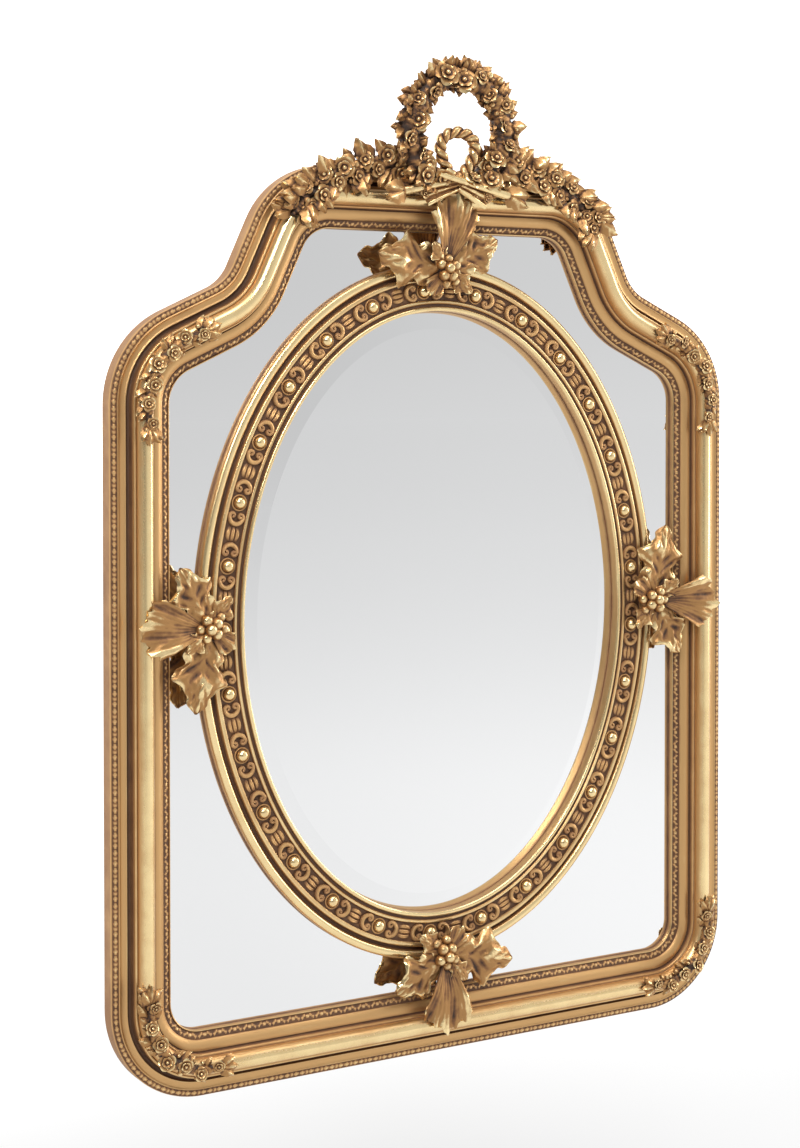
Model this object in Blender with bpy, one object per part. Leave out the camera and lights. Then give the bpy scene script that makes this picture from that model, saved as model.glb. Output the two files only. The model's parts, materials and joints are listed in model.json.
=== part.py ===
"""Gilt wall mirror: a shouldered moulded frame, an oval frame inside it, bevelled oval glass,
four margin glasses, four leaf and berry ornaments, four corner garlands and a wreath crest.

Metres, +Z up. The origin is on the wall plane, behind the middle of the top rail, where the
mirror hangs. The front faces -Y, so a height h above the wall is y = -h.
"""

from math import atan2, ceil, cos, hypot, pi, radians, sin, tan

import bmesh
import bpy
from mathutils import Matrix, Vector

# Outer frame
FRAME_WIDTH = 1.000
FRAME_HEIGHT = 1.246
RAIL_WIDTH = 0.0865
REBATE_WIDTH = 0.0065
BOTTOM_SIGHT_RADIUS = 0.042
SHOULDER_SIGHT_RADIUS = 0.050
SHOULDER_DROP = 0.283
SHOULDER_SLOPE = radians(25.0)
SWEEP_OUTER_RADIUS = 0.0635
NECK_SLOPE = radians(65.5)
TOP_SIGHT_RADIUS = 0.045
TOP_FLAT_WIDTH = 0.349

# Section of the outer frame, as heights above the wall and places from the outer edge
SIDE_HEIGHT = 0.0240
FASCIA_HEIGHT = 0.0268
FASCIA_END = 0.0210
STEP_HEIGHT = 0.0380
TORUS_CENTRE = 0.0435
TORUS_RADIUS = 0.0115
TORUS_FRONT = 0.0490
FILLET_HEIGHT = 0.0330
SCOTIA_HEIGHT = 0.0255
BAND_HEIGHT = 0.0272
SIGHT_HEIGHT = 0.0175

# Boards and glass, one behind the other
FIT_GAP = 0.0003
BOARD_RECESS = 0.0008
BOARD_THICKNESS = 0.0040
MARGIN_GLASS_THICKNESS = 0.0040
OVAL_GLASS_THICKNESS = 0.0050
BEVEL_DEPTH = 0.0024
BEVEL_WIDTH = 0.0250
GLASS_EDGE_ROOM = 0.0010
PANEL_JOINT = 0.0020

# Oval frame
SIDE_MARGIN = 0.0390
END_MARGIN = 0.0435
OVAL_RAIL = 0.0670
OVAL_OUTER_LIP = 0.0130
OVAL_INNER_LIP = 0.0060
OVAL_RIM_HEIGHT = 0.0220
OVAL_COVE_HEIGHT = 0.0170
OVAL_FILLET_HEIGHT = 0.0225
OVAL_BAND_HEIGHT = 0.0192
OVAL_BAND_START = 0.0260
OVAL_BAND_END = 0.0510
OVAL_INNER_HEIGHT = 0.0248
BEAD_COUNT = 29
BEAD_RADIUS = 0.0080
BEAD_HEIGHT = 0.0075
SCROLL_REACH = 0.0310
SCROLL_RISE = 0.0100
SCROLL_NECK = 0.0130
SCROLL_WAIST = 0.0050
SCROLL_HEIGHT = 0.0045
SCROLL_SINK = 0.0010

# Leaf and berry ornaments, one casting used four times
LEAF_LENGTH = 0.100
LEAF_THICKNESS = 0.0036
LEAF_LIFT = 0.0350
LEAF_ARCH = 0.0100
LEAF_RIDGE = 0.0008
LEAF_BASE = 0.0070
BERRY_RADIUS = 0.0082
LEAF_STAGGER = 0.0004
ORNAMENT_INSET = 0.0080

# Lobes of a large and a small leaf, as shares of its half angle and its length
LOBES = ((-1.0, 0.46), (-0.66, 0.84), (-0.30, 0.68), (0.0, 1.0), (0.30, 0.68),
         (0.66, 0.84), (1.0, 0.46))
SMALL_LOBES = ((-1.0, 0.50), (-0.45, 0.72), (0.0, 1.0), (0.45, 0.72), (1.0, 0.50))

# Leaves of the casting: share of the length, heading, half angle, share of the arch, tip drop
LARGE_LEAVES = ((1.00, 4.0, 36.0, 2.0, 0.0), (0.95, 66.0, 36.0, 1.0, 0.0060),
                (1.08, -79.0, 35.0, 0.9, 0.0040))
SMALL_LEAVES = ((0.42, -150.0, 34.0, 0.3, 0.0010), (0.42, 138.0, 32.0, 0.3, 0.0010),
                (0.48, -34.0, 28.0, 1.0, -0.0040))

# Berries of the casting: place across and up in berry radii, and share of the radius
BUNCH = ((0.9, 0.9, 1.1), (-0.9, 0.5, 1.0), (0.1, -1.1, 1.15))

# Corner garlands
GARLAND_LENGTH = 0.215
GARLAND_CORE_RADIUS = 0.0085
BLOSSOM_RADIUS = 0.0165
BLOSSOM_DEPTH = 0.0100
BLOSSOM_NOTCH = 0.72
GARLAND_SWING = 0.0065
LEAFLET_LENGTH = 0.0300
LEAFLET_WIDTH = 0.0140
LEAFLET_THICKNESS = 0.0040

# Crest
WREATH_RISE = 0.093
WREATH_RADIUS = 0.0750
WREATH_TUBE_RADIUS = 0.0170
WREATH_FORWARD = 0.0600
WREATH_LEAN = radians(6.0)
BOW_HEIGHT = 0.066
BOW_WIDTH = 0.060
BOW_WIRE_RADIUS = 0.0052
KNOT_RISE = 0.034
KNOT_RADIUS = 0.0135
TORCH_LENGTH = 0.105
TORCH_RADIUS = 0.0055
TORCH_FALL = 0.028
SWAG_REACH = 0.272
SWAG_RISE = 0.043
SWAG_DROP = 0.036
SWAG_CURVE = 2.2
SWAG_CORE_RADIUS = 0.0120
SWAG_FORWARD = 0.0440
ROSE_RADIUS = 0.0195
ROSE_START = radians(-62.0)
ROSE_SWEEP = radians(304.0)
ROSE_TILT = 0.3
WREATH_LEAF_START = radians(-48.0)
WREATH_LEAF_SWEEP = radians(276.0)
BLOSSOM_TURN = 0.25
LEAFLET_DIP = 0.15
TORCH_FLOWER_SPREAD = 2.5

# Facets, and the size of the slivers that Boolean steps leave
MERGE_DISTANCE = 0.000005
MERGE_ANGLE = radians(1.0)
FACET_TURN = radians(18.0)
OVAL_STEPS = 52
TORUS_POINTS = 6
SEAT_POINTS = 4
BEAD_SIDES = 6
BLOSSOM_PETALS = 4
GARLAND_BLOSSOMS = 4
WREATH_STEPS = 14
WREATH_ROSES = 8
WREATH_LEAVES = 7
BOW_STEPS = 8
SWAG_BLOSSOMS = 5
TUBE_SIDES = 4

# Places worked out from the sizes above
SIGHT_HALF_WIDTH = FRAME_WIDTH / 2 - RAIL_WIDTH
TOP_SIGHT_Z = -RAIL_WIDTH / 2
BOTTOM_SIGHT_Z = RAIL_WIDTH / 2 - FRAME_HEIGHT + RAIL_WIDTH
OVAL_CENTRE_Z = (TOP_SIGHT_Z + BOTTOM_SIGHT_Z) / 2
OVAL_WIDTH = 2 * (SIGHT_HALF_WIDTH - SIDE_MARGIN)
OVAL_HEIGHT = TOP_SIGHT_Z - BOTTOM_SIGHT_Z - 2 * END_MARGIN
BOARD_FRONT = BOARD_RECESS + BOARD_THICKNESS
GLASS_BACK = BOARD_FRONT + FIT_GAP
MARGIN_GLASS_FRONT = GLASS_BACK + MARGIN_GLASS_THICKNESS
MARGIN_LEDGE = MARGIN_GLASS_FRONT + FIT_GAP
OVAL_GLASS_FRONT = GLASS_BACK + OVAL_GLASS_THICKNESS
BEVEL_TOTAL = BEVEL_WIDTH + OVAL_INNER_LIP
OVAL_LEDGE = OVAL_GLASS_FRONT - BEVEL_DEPTH * BEVEL_WIDTH / BEVEL_TOTAL + FIT_GAP
TORUS_LINE = RAIL_WIDTH - TORUS_CENTRE
SEAT_RADIUS = TORUS_RADIUS + 0.0014

# Colours as red, green and blue, with roughness and metallic
GILT_WOOD = ("gilt_wood", (0.62, 0.40, 0.17), 0.35, 0.9)
GILT_COMPOSITION = ("gilt_composition", (0.55, 0.34, 0.15), 0.42, 0.9)
MIRROR_GLASS = ("mirror_glass", (0.86, 0.87, 0.88), 0.03, 1.0)
BOARD = ("backing_board", (0.36, 0.26, 0.17), 0.85, 0.0)


def clear_scene():
    """Remove every object that the file opens with."""
    for thing in list(bpy.data.objects):
        bpy.data.objects.remove(thing, do_unlink=True)


def material(finish):
    """The material of one finish, made the first time that it is asked for."""
    name, colour, roughness, metallic = finish
    made = bpy.data.materials.get(name)
    if made is None:
        made = bpy.data.materials.new(name)
        made.use_nodes = True
        shader = made.node_tree.nodes["Principled BSDF"]
        shader.inputs["Base Color"].default_value = (*colour, 1.0)
        shader.inputs["Roughness"].default_value = roughness
        shader.inputs["Metallic"].default_value = metallic
    return made


def place(x, h, z):
    """World point at x and z, a height h in front of the wall."""
    return Vector((x, -h, z))


def add_object(name, bm, finish=None):
    """Finish a bmesh as one object with its faces pointing out."""
    bmesh.ops.recalc_face_normals(bm, faces=bm.faces)
    mesh = bpy.data.meshes.new(name)
    bm.to_mesh(mesh)
    bm.free()
    made = bpy.data.objects.new(name, mesh)
    bpy.context.scene.collection.objects.link(made)
    if finish is not None:
        mesh.materials.append(material(finish))
        mesh.shade_smooth()
        mesh.set_sharp_from_angle(angle=radians(30))
    return made


def combine(target, others, operation):
    """Apply Boolean steps to the target with each of the others, and remove those."""
    for other in others:
        step = target.modifiers.new("step", "BOOLEAN")
        step.operation = operation
        step.solver = "MANIFOLD"
        step.object = other
        with bpy.context.temp_override(object=target, active_object=target,
                                       selected_objects=[target]):
            bpy.ops.object.modifier_apply(modifier=step.name)
        bpy.data.objects.remove(other, do_unlink=True)
    return target


def clean(target):
    """Merge the slivers that Boolean steps leave behind."""
    bm = bmesh.new()
    bm.from_mesh(target.data)
    bmesh.ops.remove_doubles(bm, verts=bm.verts, dist=MERGE_DISTANCE)
    bmesh.ops.dissolve_degenerate(bm, edges=bm.edges, dist=MERGE_DISTANCE)
    bmesh.ops.dissolve_limit(bm, angle_limit=MERGE_ANGLE, verts=bm.verts, edges=bm.edges)
    bmesh.ops.triangulate(bm, faces=bm.faces)
    bm.to_mesh(target.data)
    bm.free()
    target.data.shade_smooth()
    target.data.set_sharp_from_angle(angle=radians(30))
    return target


def arc(centre, radius, start, turn, side=1):
    """Stations along an arc: each is a sight point and the frame's outward normal there.

    side is 1 where the arc is round the opening and -1 where it is round a point outside.
    """
    steps = ceil(abs(turn) / FACET_TURN)
    stations = []
    for step in range(steps + 1):
        angle = start + turn * step / steps
        out = Vector((cos(angle), sin(angle)))
        stations.append((centre + side * radius * out, out))
    return stations


def frame_quarters():
    """Stations of the right half of the outer frame on its sight edge, from the bottom up.

    They come as four arcs: bottom corner, shoulder, the hollow sweep above it and top corner.
    """
    low_centre = Vector((SIGHT_HALF_WIDTH - BOTTOM_SIGHT_RADIUS,
                         BOTTOM_SIGHT_Z + BOTTOM_SIGHT_RADIUS))
    shoulder_centre = Vector((SIGHT_HALF_WIDTH - SHOULDER_SIGHT_RADIUS, -SHOULDER_DROP))
    top_centre = Vector((TOP_FLAT_WIDTH / 2, TOP_SIGHT_Z - TOP_SIGHT_RADIUS))
    slope_normal = pi / 2 - SHOULDER_SLOPE
    neck_normal = pi / 2 - NECK_SLOPE
    low = arc(low_centre, BOTTOM_SIGHT_RADIUS, -pi / 2, pi / 2)
    shoulder = arc(shoulder_centre, SHOULDER_SIGHT_RADIUS, 0, slope_normal)
    top = arc(top_centre, TOP_SIGHT_RADIUS, neck_normal, pi / 2 - neck_normal)

    slope_start = shoulder[-1][0]
    slope_way = Vector((-cos(SHOULDER_SLOPE), sin(SHOULDER_SLOPE)))
    neck_end = top[0][0]
    neck_way = Vector((-cos(NECK_SLOPE), sin(NECK_SLOPE)))
    across = neck_end - slope_start
    run = (across.x * neck_way.y - across.y * neck_way.x) / (slope_way.x * neck_way.y
                                                             - slope_way.y * neck_way.x)
    corner = slope_start + slope_way * run
    sweep_radius = SWEEP_OUTER_RADIUS + RAIL_WIDTH
    tangent = sweep_radius * tan((slope_normal - neck_normal) / 2)
    first = corner - slope_way * tangent
    start_out = Vector((cos(slope_normal), sin(slope_normal)))
    sweep = arc(first + sweep_radius * start_out, sweep_radius, slope_normal,
                neck_normal - slope_normal, side=-1)
    return low, shoulder, sweep, top


def frame_outline():
    """Stations round the whole outer frame on its sight edge, counter-clockwise."""
    right = [station for quarter in frame_quarters() for station in quarter]
    left = [(Vector((-point.x, point.y)), Vector((-out.x, out.y))) for point, out in right]
    return right + left[::-1]


def oval_outline(steps):
    """Stations round the oval frame on its outer edge, equal steps apart."""
    half_width = (OVAL_WIDTH - OVAL_RAIL) / 2
    half_height = (OVAL_HEIGHT - OVAL_RAIL) / 2
    fine = 2400
    walked = [0.0]
    for step in range(fine):
        here = 2 * pi * step / fine
        there = 2 * pi * (step + 1) / fine
        walked.append(walked[-1] + hypot(half_width * (cos(there) - cos(here)),
                                         half_height * (sin(there) - sin(here))))
    stations = []
    reached = 0
    for step in range(steps):
        wanted = walked[-1] * (step + 0.5) / steps
        while walked[reached + 1] < wanted:
            reached += 1
        share = (wanted - walked[reached]) / (walked[reached + 1] - walked[reached])
        angle = 2 * pi * (reached + share) / fine
        out = Vector((cos(angle) / half_width, sin(angle) / half_height)).normalized()
        middle = Vector((half_width * cos(angle), OVAL_CENTRE_Z + half_height * sin(angle)))
        stations.append((middle + out * OVAL_RAIL / 2, out))
    return stations


def sweep_ring(name, stations, section, finish=None):
    """Carry a closed section round closed stations. A section point is (outward, height)."""
    bm = bmesh.new()
    rings = []
    for point, out in stations:
        rings.append([bm.verts.new(place(point.x + out.x * away, high, point.y + out.y * away))
                      for away, high in section])
    count = len(section)
    for index, ring in enumerate(rings):
        after = rings[(index + 1) % len(rings)]
        for corner in range(count):
            beside = (corner + 1) % count
            bm.faces.new((ring[corner], ring[beside], after[beside], after[corner]))
    return add_object(name, bm, finish)


def torus_points(radius, start, end, count):
    """Points over the polished torus of the outer frame, from its outer side to its inner."""
    points = []
    for step in range(count):
        angle = start + (end - start) * step / (count - 1)
        points.append((TORUS_CENTRE - radius * cos(angle),
                       TORUS_FRONT - TORUS_RADIUS + radius * sin(angle)))
    return points


def frame_section():
    """Section of the outer frame, from its back outer edge over the front to the rebate."""
    steps = [(0.0, 0.0), (0.0, SIDE_HEIGHT), (0.0012, SIDE_HEIGHT + 0.0022),
             (0.0095, FASCIA_HEIGHT + 0.0012), (FASCIA_END + 0.0058, FASCIA_HEIGHT + 0.0012),
             (FASCIA_END + 0.0072, STEP_HEIGHT)]
    steps += torus_points(TORUS_RADIUS, radians(15), radians(195), TORUS_POINTS)
    steps += [(TORUS_CENTRE + TORUS_RADIUS + 0.0030, FILLET_HEIGHT),
              (TORUS_CENTRE + TORUS_RADIUS + 0.0044, SCOTIA_HEIGHT),
              (TORUS_CENTRE + TORUS_RADIUS + 0.0100, BAND_HEIGHT),
              (RAIL_WIDTH - 0.0110, SIGHT_HEIGHT + 0.0050), (RAIL_WIDTH, SIGHT_HEIGHT - 0.0015),
              (RAIL_WIDTH, MARGIN_LEDGE),
              (RAIL_WIDTH - REBATE_WIDTH, MARGIN_LEDGE), (RAIL_WIDTH - REBATE_WIDTH, 0.0)]
    return [(RAIL_WIDTH - inward, high) for inward, high in steps]


def frame_seat():
    """Section just clear of the outer frame, which cuts the ornaments that sit on it."""
    gap = FIT_GAP
    under = -0.02
    steps = [(-gap, under), (-gap, SIDE_HEIGHT + 0.0026), (0.0095, FASCIA_HEIGHT + 0.0024),
             (FASCIA_END + 0.0050, FASCIA_HEIGHT + 0.0024),
             (FASCIA_END + 0.0055, STEP_HEIGHT), (FASCIA_END + 0.0090, STEP_HEIGHT + 0.0012)]
    steps += torus_points(SEAT_RADIUS, radians(35), radians(175), SEAT_POINTS)
    steps += [(TORUS_CENTRE + TORUS_RADIUS + 0.0040, FILLET_HEIGHT + 0.0006),
              (TORUS_CENTRE + TORUS_RADIUS + 0.0060, BAND_HEIGHT + 0.0010),
              (TORUS_CENTRE + TORUS_RADIUS + 0.0160, BAND_HEIGHT + 0.0006),
              (RAIL_WIDTH + gap, SIGHT_HEIGHT + 0.0015), (RAIL_WIDTH + gap, under)]
    return [(RAIL_WIDTH - inward, high) for inward, high in steps]


def oval_section():
    """Section of the oval frame, from its outer edge over the front and back round its foot."""
    rim = OVAL_RIM_HEIGHT
    inner = OVAL_RAIL
    steps = [(0.0, MARGIN_LEDGE), (0.0, rim - 0.0055), (0.0028, rim - 0.0008),
             (0.0105, rim - 0.0008), (0.0135, OVAL_COVE_HEIGHT),
             (0.0200, OVAL_FILLET_HEIGHT), (OVAL_BAND_START - 0.0015, OVAL_FILLET_HEIGHT),
             (OVAL_BAND_START, OVAL_BAND_HEIGHT),
             (OVAL_BAND_END, OVAL_BAND_HEIGHT), (OVAL_BAND_END + 0.0010, OVAL_FILLET_HEIGHT),
             (inner - 0.0080, OVAL_COVE_HEIGHT + 0.003),
             (inner - 0.0040, OVAL_INNER_HEIGHT), (inner, OVAL_INNER_HEIGHT - 0.0045),
             (inner, OVAL_LEDGE), (inner - OVAL_INNER_LIP, OVAL_LEDGE),
             (inner - OVAL_INNER_LIP, GLASS_BACK), (OVAL_OUTER_LIP, GLASS_BACK),
             (OVAL_OUTER_LIP, MARGIN_LEDGE)]
    return [(-inward, high) for inward, high in steps]


def oval_seat():
    """Section just clear of the oval frame and its beads."""
    gap = FIT_GAP
    under = -0.02
    top = OVAL_BAND_HEIGHT + BEAD_HEIGHT + 0.0008
    steps = [(-gap, under), (-gap, OVAL_RIM_HEIGHT - 0.0040), (0.0022, OVAL_RIM_HEIGHT - 0.0004),
             (0.0060, OVAL_RIM_HEIGHT + 0.0010), (OVAL_BAND_START, OVAL_FILLET_HEIGHT + 0.0010),
             (OVAL_BAND_START + 0.0050, top), (OVAL_BAND_END - 0.0050, top),
             (OVAL_BAND_END, OVAL_FILLET_HEIGHT + 0.0015),
             (OVAL_RAIL - 0.0010, OVAL_INNER_HEIGHT + 0.0012), (OVAL_RAIL + gap, under)]
    return [(-inward, high) for inward, high in steps]


def bead(middle):
    """One domed bead of the oval band, sunk a little into the band's floor."""
    bm = bmesh.new()
    rings = ((BEAD_RADIUS, -0.0035), (BEAD_RADIUS * 0.74, BEAD_HEIGHT * 0.72))
    loops = []
    for radius, high in rings:
        loop = []
        for side in range(BEAD_SIDES):
            angle = 2 * pi * side / BEAD_SIDES
            loop.append(bm.verts.new(place(middle.x + radius * cos(angle), OVAL_BAND_HEIGHT + high,
                                           middle.y + radius * sin(angle))))
        loops.append(loop)
    top = bm.verts.new(place(middle.x, OVAL_BAND_HEIGHT + BEAD_HEIGHT, middle.y))
    for side in range(BEAD_SIDES):
        beside = (side + 1) % BEAD_SIDES
        bm.faces.new((loops[0][side], loops[0][beside], loops[1][beside], loops[1][side]))
        bm.faces.new((loops[1][side], loops[1][beside], top))
    bm.faces.new(loops[0])
    return add_object("bead", bm)


def crossed_scrolls(middle, out):
    """Two scrolls back to back between two beads, their ends curling round the beads."""
    along = Vector((-out.y, out.x))
    corners = []
    for way in (1, -1):
        corners += [(way * SCROLL_NECK, 0.0), (way * SCROLL_REACH, way * SCROLL_RISE),
                    (0.0, way * SCROLL_WAIST), (-way * SCROLL_REACH, way * SCROLL_RISE)]
    bm = bmesh.new()
    rim = []
    for ahead, aside in corners:
        spot = middle + along * ahead + out * aside
        rim.append(bm.verts.new(place(spot.x, OVAL_BAND_HEIGHT - SCROLL_SINK, spot.y)))
    top = bm.verts.new(place(middle.x, OVAL_BAND_HEIGHT + SCROLL_HEIGHT, middle.y))
    bottom = bm.verts.new(place(middle.x, OVAL_BAND_HEIGHT - 2 * SCROLL_SINK, middle.y))
    for index in range(len(rim)):
        beside = (index + 1) % len(rim)
        bm.faces.new((rim[index], rim[beside], top))
        bm.faces.new((rim[beside], rim[index], bottom))
    return add_object("scrolls", bm)


def oval_frame():
    """Oval frame with its carved band of beads between scrolls."""
    ring = sweep_ring("oval_frame", oval_outline(OVAL_STEPS), oval_section(),
                      GILT_WOOD)
    band = (OVAL_BAND_START + OVAL_BAND_END) / 2
    carvings = []
    for index, (point, out) in enumerate(oval_outline(BEAD_COUNT * 2)):
        middle = point - out * band
        carvings.append(crossed_scrolls(middle, out) if index % 2 else bead(middle))
    combine(ring, carvings, "UNION")
    return clean(ring)


def flat_plate(name, outline, back, front, finish):
    """A plate of one outline between two heights above the wall."""
    bm = bmesh.new()
    low = [bm.verts.new(place(point.x, back, point.y)) for point in outline]
    high = [bm.verts.new(place(point.x, front, point.y)) for point in outline]
    bm.faces.new(low)
    bm.faces.new(high)
    for index in range(len(outline)):
        beside = (index + 1) % len(outline)
        bm.faces.new((low[index], low[beside], high[beside], high[index]))
    return add_object(name, bm, finish)


def rebate_outline():
    """Outline of what lies in the outer frame's rebate."""
    room = REBATE_WIDTH - GLASS_EDGE_ROOM
    return [point + out * room for point, out in frame_outline()]


def margin_mirrors():
    """Four glasses between the oval frame and the outer frame, jointed behind the ornaments."""
    edge = rebate_outline()
    joint = PANEL_JOINT / 2
    inner = OVAL_OUTER_LIP - GLASS_EDGE_ROOM
    hole = [point - out * inner for point, out in oval_outline(OVAL_STEPS)]
    half_width = OVAL_WIDTH / 2 - inner
    half_height = OVAL_HEIGHT / 2 - inner
    for side_name, side in (("left", -1), ("right", 1)):
        for level_name, level in (("upper", 1), ("lower", -1)):
            outside = [p for p in edge if p.x * side > 0 and (p.y - OVAL_CENTRE_Z) * level > 0]
            inside = [p for p in hole
                      if p.x * side > joint and (p.y - OVAL_CENTRE_Z) * level > joint]
            outside.sort(key=lambda p: atan2((p.y - OVAL_CENTRE_Z) * level, p.x * side))
            inside.sort(key=lambda p: atan2((p.y - OVAL_CENTRE_Z) * level, p.x * side))
            across = OVAL_CENTRE_Z + level * joint
            top = max(outside, key=lambda p: (p.y - OVAL_CENTRE_Z) * level).y
            wide = max(abs(p.x) for p in outside)
            shape = [Vector((side * wide, across))] + outside + [Vector((side * joint, top)),
                     Vector((side * joint, OVAL_CENTRE_Z + level * half_height))]
            shape += inside[::-1] + [Vector((side * half_width, across))]
            flat_plate(f"margin_mirror_{level_name}_{side_name}", shape, GLASS_BACK,
                       MARGIN_GLASS_FRONT, MIRROR_GLASS)


def oval_mirror():
    """Oval glass with a wide bevel that runs under the oval frame's inner lip."""
    edge_inward = OVAL_RAIL - OVAL_INNER_LIP + GLASS_EDGE_ROOM
    rings = ((edge_inward, GLASS_BACK), (edge_inward, OVAL_GLASS_FRONT - BEVEL_DEPTH),
             (OVAL_RAIL + BEVEL_WIDTH, OVAL_GLASS_FRONT))
    bm = bmesh.new()
    loops = []
    for inward, high in rings:
        loops.append([bm.verts.new(place(p.x - n.x * inward, high, p.y - n.y * inward))
                      for p, n in oval_outline(OVAL_STEPS)])
    for lower, upper in zip(loops, loops[1:]):
        for index in range(len(lower)):
            beside = (index + 1) % len(lower)
            bm.faces.new((lower[index], lower[beside], upper[beside], upper[index]))
    bm.faces.new(loops[0])
    bm.faces.new(loops[-1])
    return add_object("oval_mirror", bm, MIRROR_GLASS)


def fan_leaf(length, spread, heading, lobes, rows, lift, arch, tip_drop):
    """A lobed leaf whose veins fan out from its base, in (across, up, height).

    heading turns the leaf from straight up and spread is its half angle. rows are the shares of
    its length that have points, and the blade rises by arch and drops by tip_drop at its tips.
    """
    bm = bmesh.new()
    base = place(LEAF_BASE * sin(heading), 0.0, LEAF_BASE * cos(heading))
    upper = []
    lower = []
    for share in rows:
        upper_row = []
        lower_row = []
        for index, (turn, reach) in enumerate(lobes):
            angle = heading + turn * spread
            away = (length - LEAF_BASE) * reach * share
            high = lift + arch * sin(pi * 0.62 * share) - tip_drop * share ** 3
            high += LEAF_RIDGE if index % 2 else -LEAF_RIDGE
            thick = LEAF_THICKNESS * (1.3 - 0.75 * share)
            spot = base + place(away * sin(angle), high, away * cos(angle))
            upper_row.append(bm.verts.new(spot))
            lower_row.append(bm.verts.new(spot - place(0.0, thick, 0.0)))
        upper.append(upper_row)
        lower.append(lower_row)
    top = bm.verts.new(base + place(0.0, lift, 0.0))
    bottom = bm.verts.new(base + place(0.0, lift - LEAF_THICKNESS * 1.6, 0.0))
    last = len(lobes) - 1
    for index in range(last):
        beside = index + 1
        bm.faces.new((top, upper[0][index], upper[0][beside]))
        bm.faces.new((bottom, lower[0][beside], lower[0][index]))
        bm.faces.new((upper[-1][index], lower[-1][index], lower[-1][beside], upper[-1][beside]))
        for row in range(1, len(rows)):
            bm.faces.new((upper[row - 1][index], upper[row][index],
                          upper[row][beside], upper[row - 1][beside]))
            bm.faces.new((lower[row - 1][beside], lower[row][beside],
                          lower[row][index], lower[row - 1][index]))
    for index in (0, last):
        bm.faces.new((top, upper[0][index], lower[0][index], bottom))
        for row in range(1, len(rows)):
            bm.faces.new((upper[row - 1][index], upper[row][index],
                          lower[row][index], lower[row - 1][index]))
    return add_object("leaf", bm)


def ball(x, h, z, radius):
    """A faceted berry or bud."""
    bm = bmesh.new()
    bmesh.ops.create_icosphere(bm, subdivisions=1, radius=radius,
                               matrix=Matrix.Translation(place(x, h, z)))
    return add_object("ball", bm)


def leaf_casting():
    """Three large vine leaves, three small ones and a bunch of berries, as one casting.

    The boss under the berries stands on the oval frame's rim and carries the rest.
    """
    boss = ball(0.0, LEAF_LIFT - LEAF_THICKNESS / 2, 0.0, LEAF_LIFT - OVAL_RIM_HEIGHT)
    parts = []
    for lobes, rows, leaves in ((LOBES, (0.45, 1.0), LARGE_LEAVES),
                                (SMALL_LOBES, (1.0,), SMALL_LEAVES)):
        for share, heading, spread, arch, tip_drop in leaves:
            lift = LEAF_LIFT - LEAF_STAGGER * len(parts)
            parts.append(fan_leaf(LEAF_LENGTH * share, radians(spread), radians(heading), lobes,
                                  rows, lift, LEAF_ARCH * arch, tip_drop))
    for across, up, share in BUNCH:
        parts.append(ball(across * BERRY_RADIUS, LEAF_LIFT + BERRY_RADIUS, up * BERRY_RADIUS,
                          BERRY_RADIUS * share))
    return combine(boss, parts, "UNION")


def leaf_ornaments():
    """The leaf casting at the top, bottom and both sides of the oval frame."""
    pattern = leaf_casting()
    half_width = OVAL_WIDTH / 2 - ORNAMENT_INSET
    half_height = OVAL_HEIGHT / 2 - ORNAMENT_INSET
    places = (("top", 0.0, half_height, 0.0), ("left", -half_width, 0.0, pi / 2),
              ("bottom", 0.0, -half_height, pi), ("right", half_width, 0.0, -pi / 2))
    for name, x, up, turn in places:
        mesh = pattern.data.copy()
        mesh.transform(Matrix.Translation(place(x, 0.0, OVAL_CENTRE_Z + up))
                       @ Matrix.Rotation(-turn, 4, "Y"))
        made = bpy.data.objects.new("ornament", mesh)
        bpy.context.scene.collection.objects.link(made)
        seat_ornament(made, f"leaf_ornament_{name}", (outer_seat(), inner_seat()))
    bpy.data.objects.remove(pattern, do_unlink=True)


def outer_seat():
    """Cutter that keeps an ornament clear of the outer frame."""
    return sweep_ring("outer_seat", frame_outline(), frame_seat())


def inner_seat():
    """Cutter that keeps an ornament clear of the oval frame."""
    return sweep_ring("inner_seat", oval_outline(OVAL_STEPS), oval_seat())


def seat_ornament(made, name, cutters):
    """Name a cast ornament, give it its finish and cut it to the mouldings that it sits on."""
    made.name = name
    made.data.name = name
    made.data.materials.append(material(GILT_COMPOSITION))
    combine(made, cutters, "DIFFERENCE")
    return clean(made)


def blossom(centre, radius, turn=0.0, tip=0.0):
    """A flower: a raised heart and pointed petals, facing the front and tilted a little."""
    bm = bmesh.new()
    rim = []
    for index in range(BLOSSOM_PETALS * 2):
        angle = pi * index / BLOSSOM_PETALS + turn
        away = radius * (1.0 if index % 2 else BLOSSOM_NOTCH)
        rim.append(bm.verts.new(Vector((away * cos(angle), 0.0, away * sin(angle)))))
    heart = bm.verts.new(Vector((0.0, -BLOSSOM_DEPTH * 0.55, 0.0)))
    root = bm.verts.new(Vector((0.0, BLOSSOM_DEPTH, 0.0)))
    for index in range(BLOSSOM_PETALS * 2):
        beside = (index + 1) % (BLOSSOM_PETALS * 2)
        bm.faces.new((rim[index], rim[beside], heart))
        bm.faces.new((rim[beside], rim[index], root))
    bm.transform(Matrix.Translation(centre) @ Matrix.Rotation(turn, 4, "Z")
                 @ Matrix.Rotation(tip, 4, "X"))
    return add_object("blossom", bm)


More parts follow.
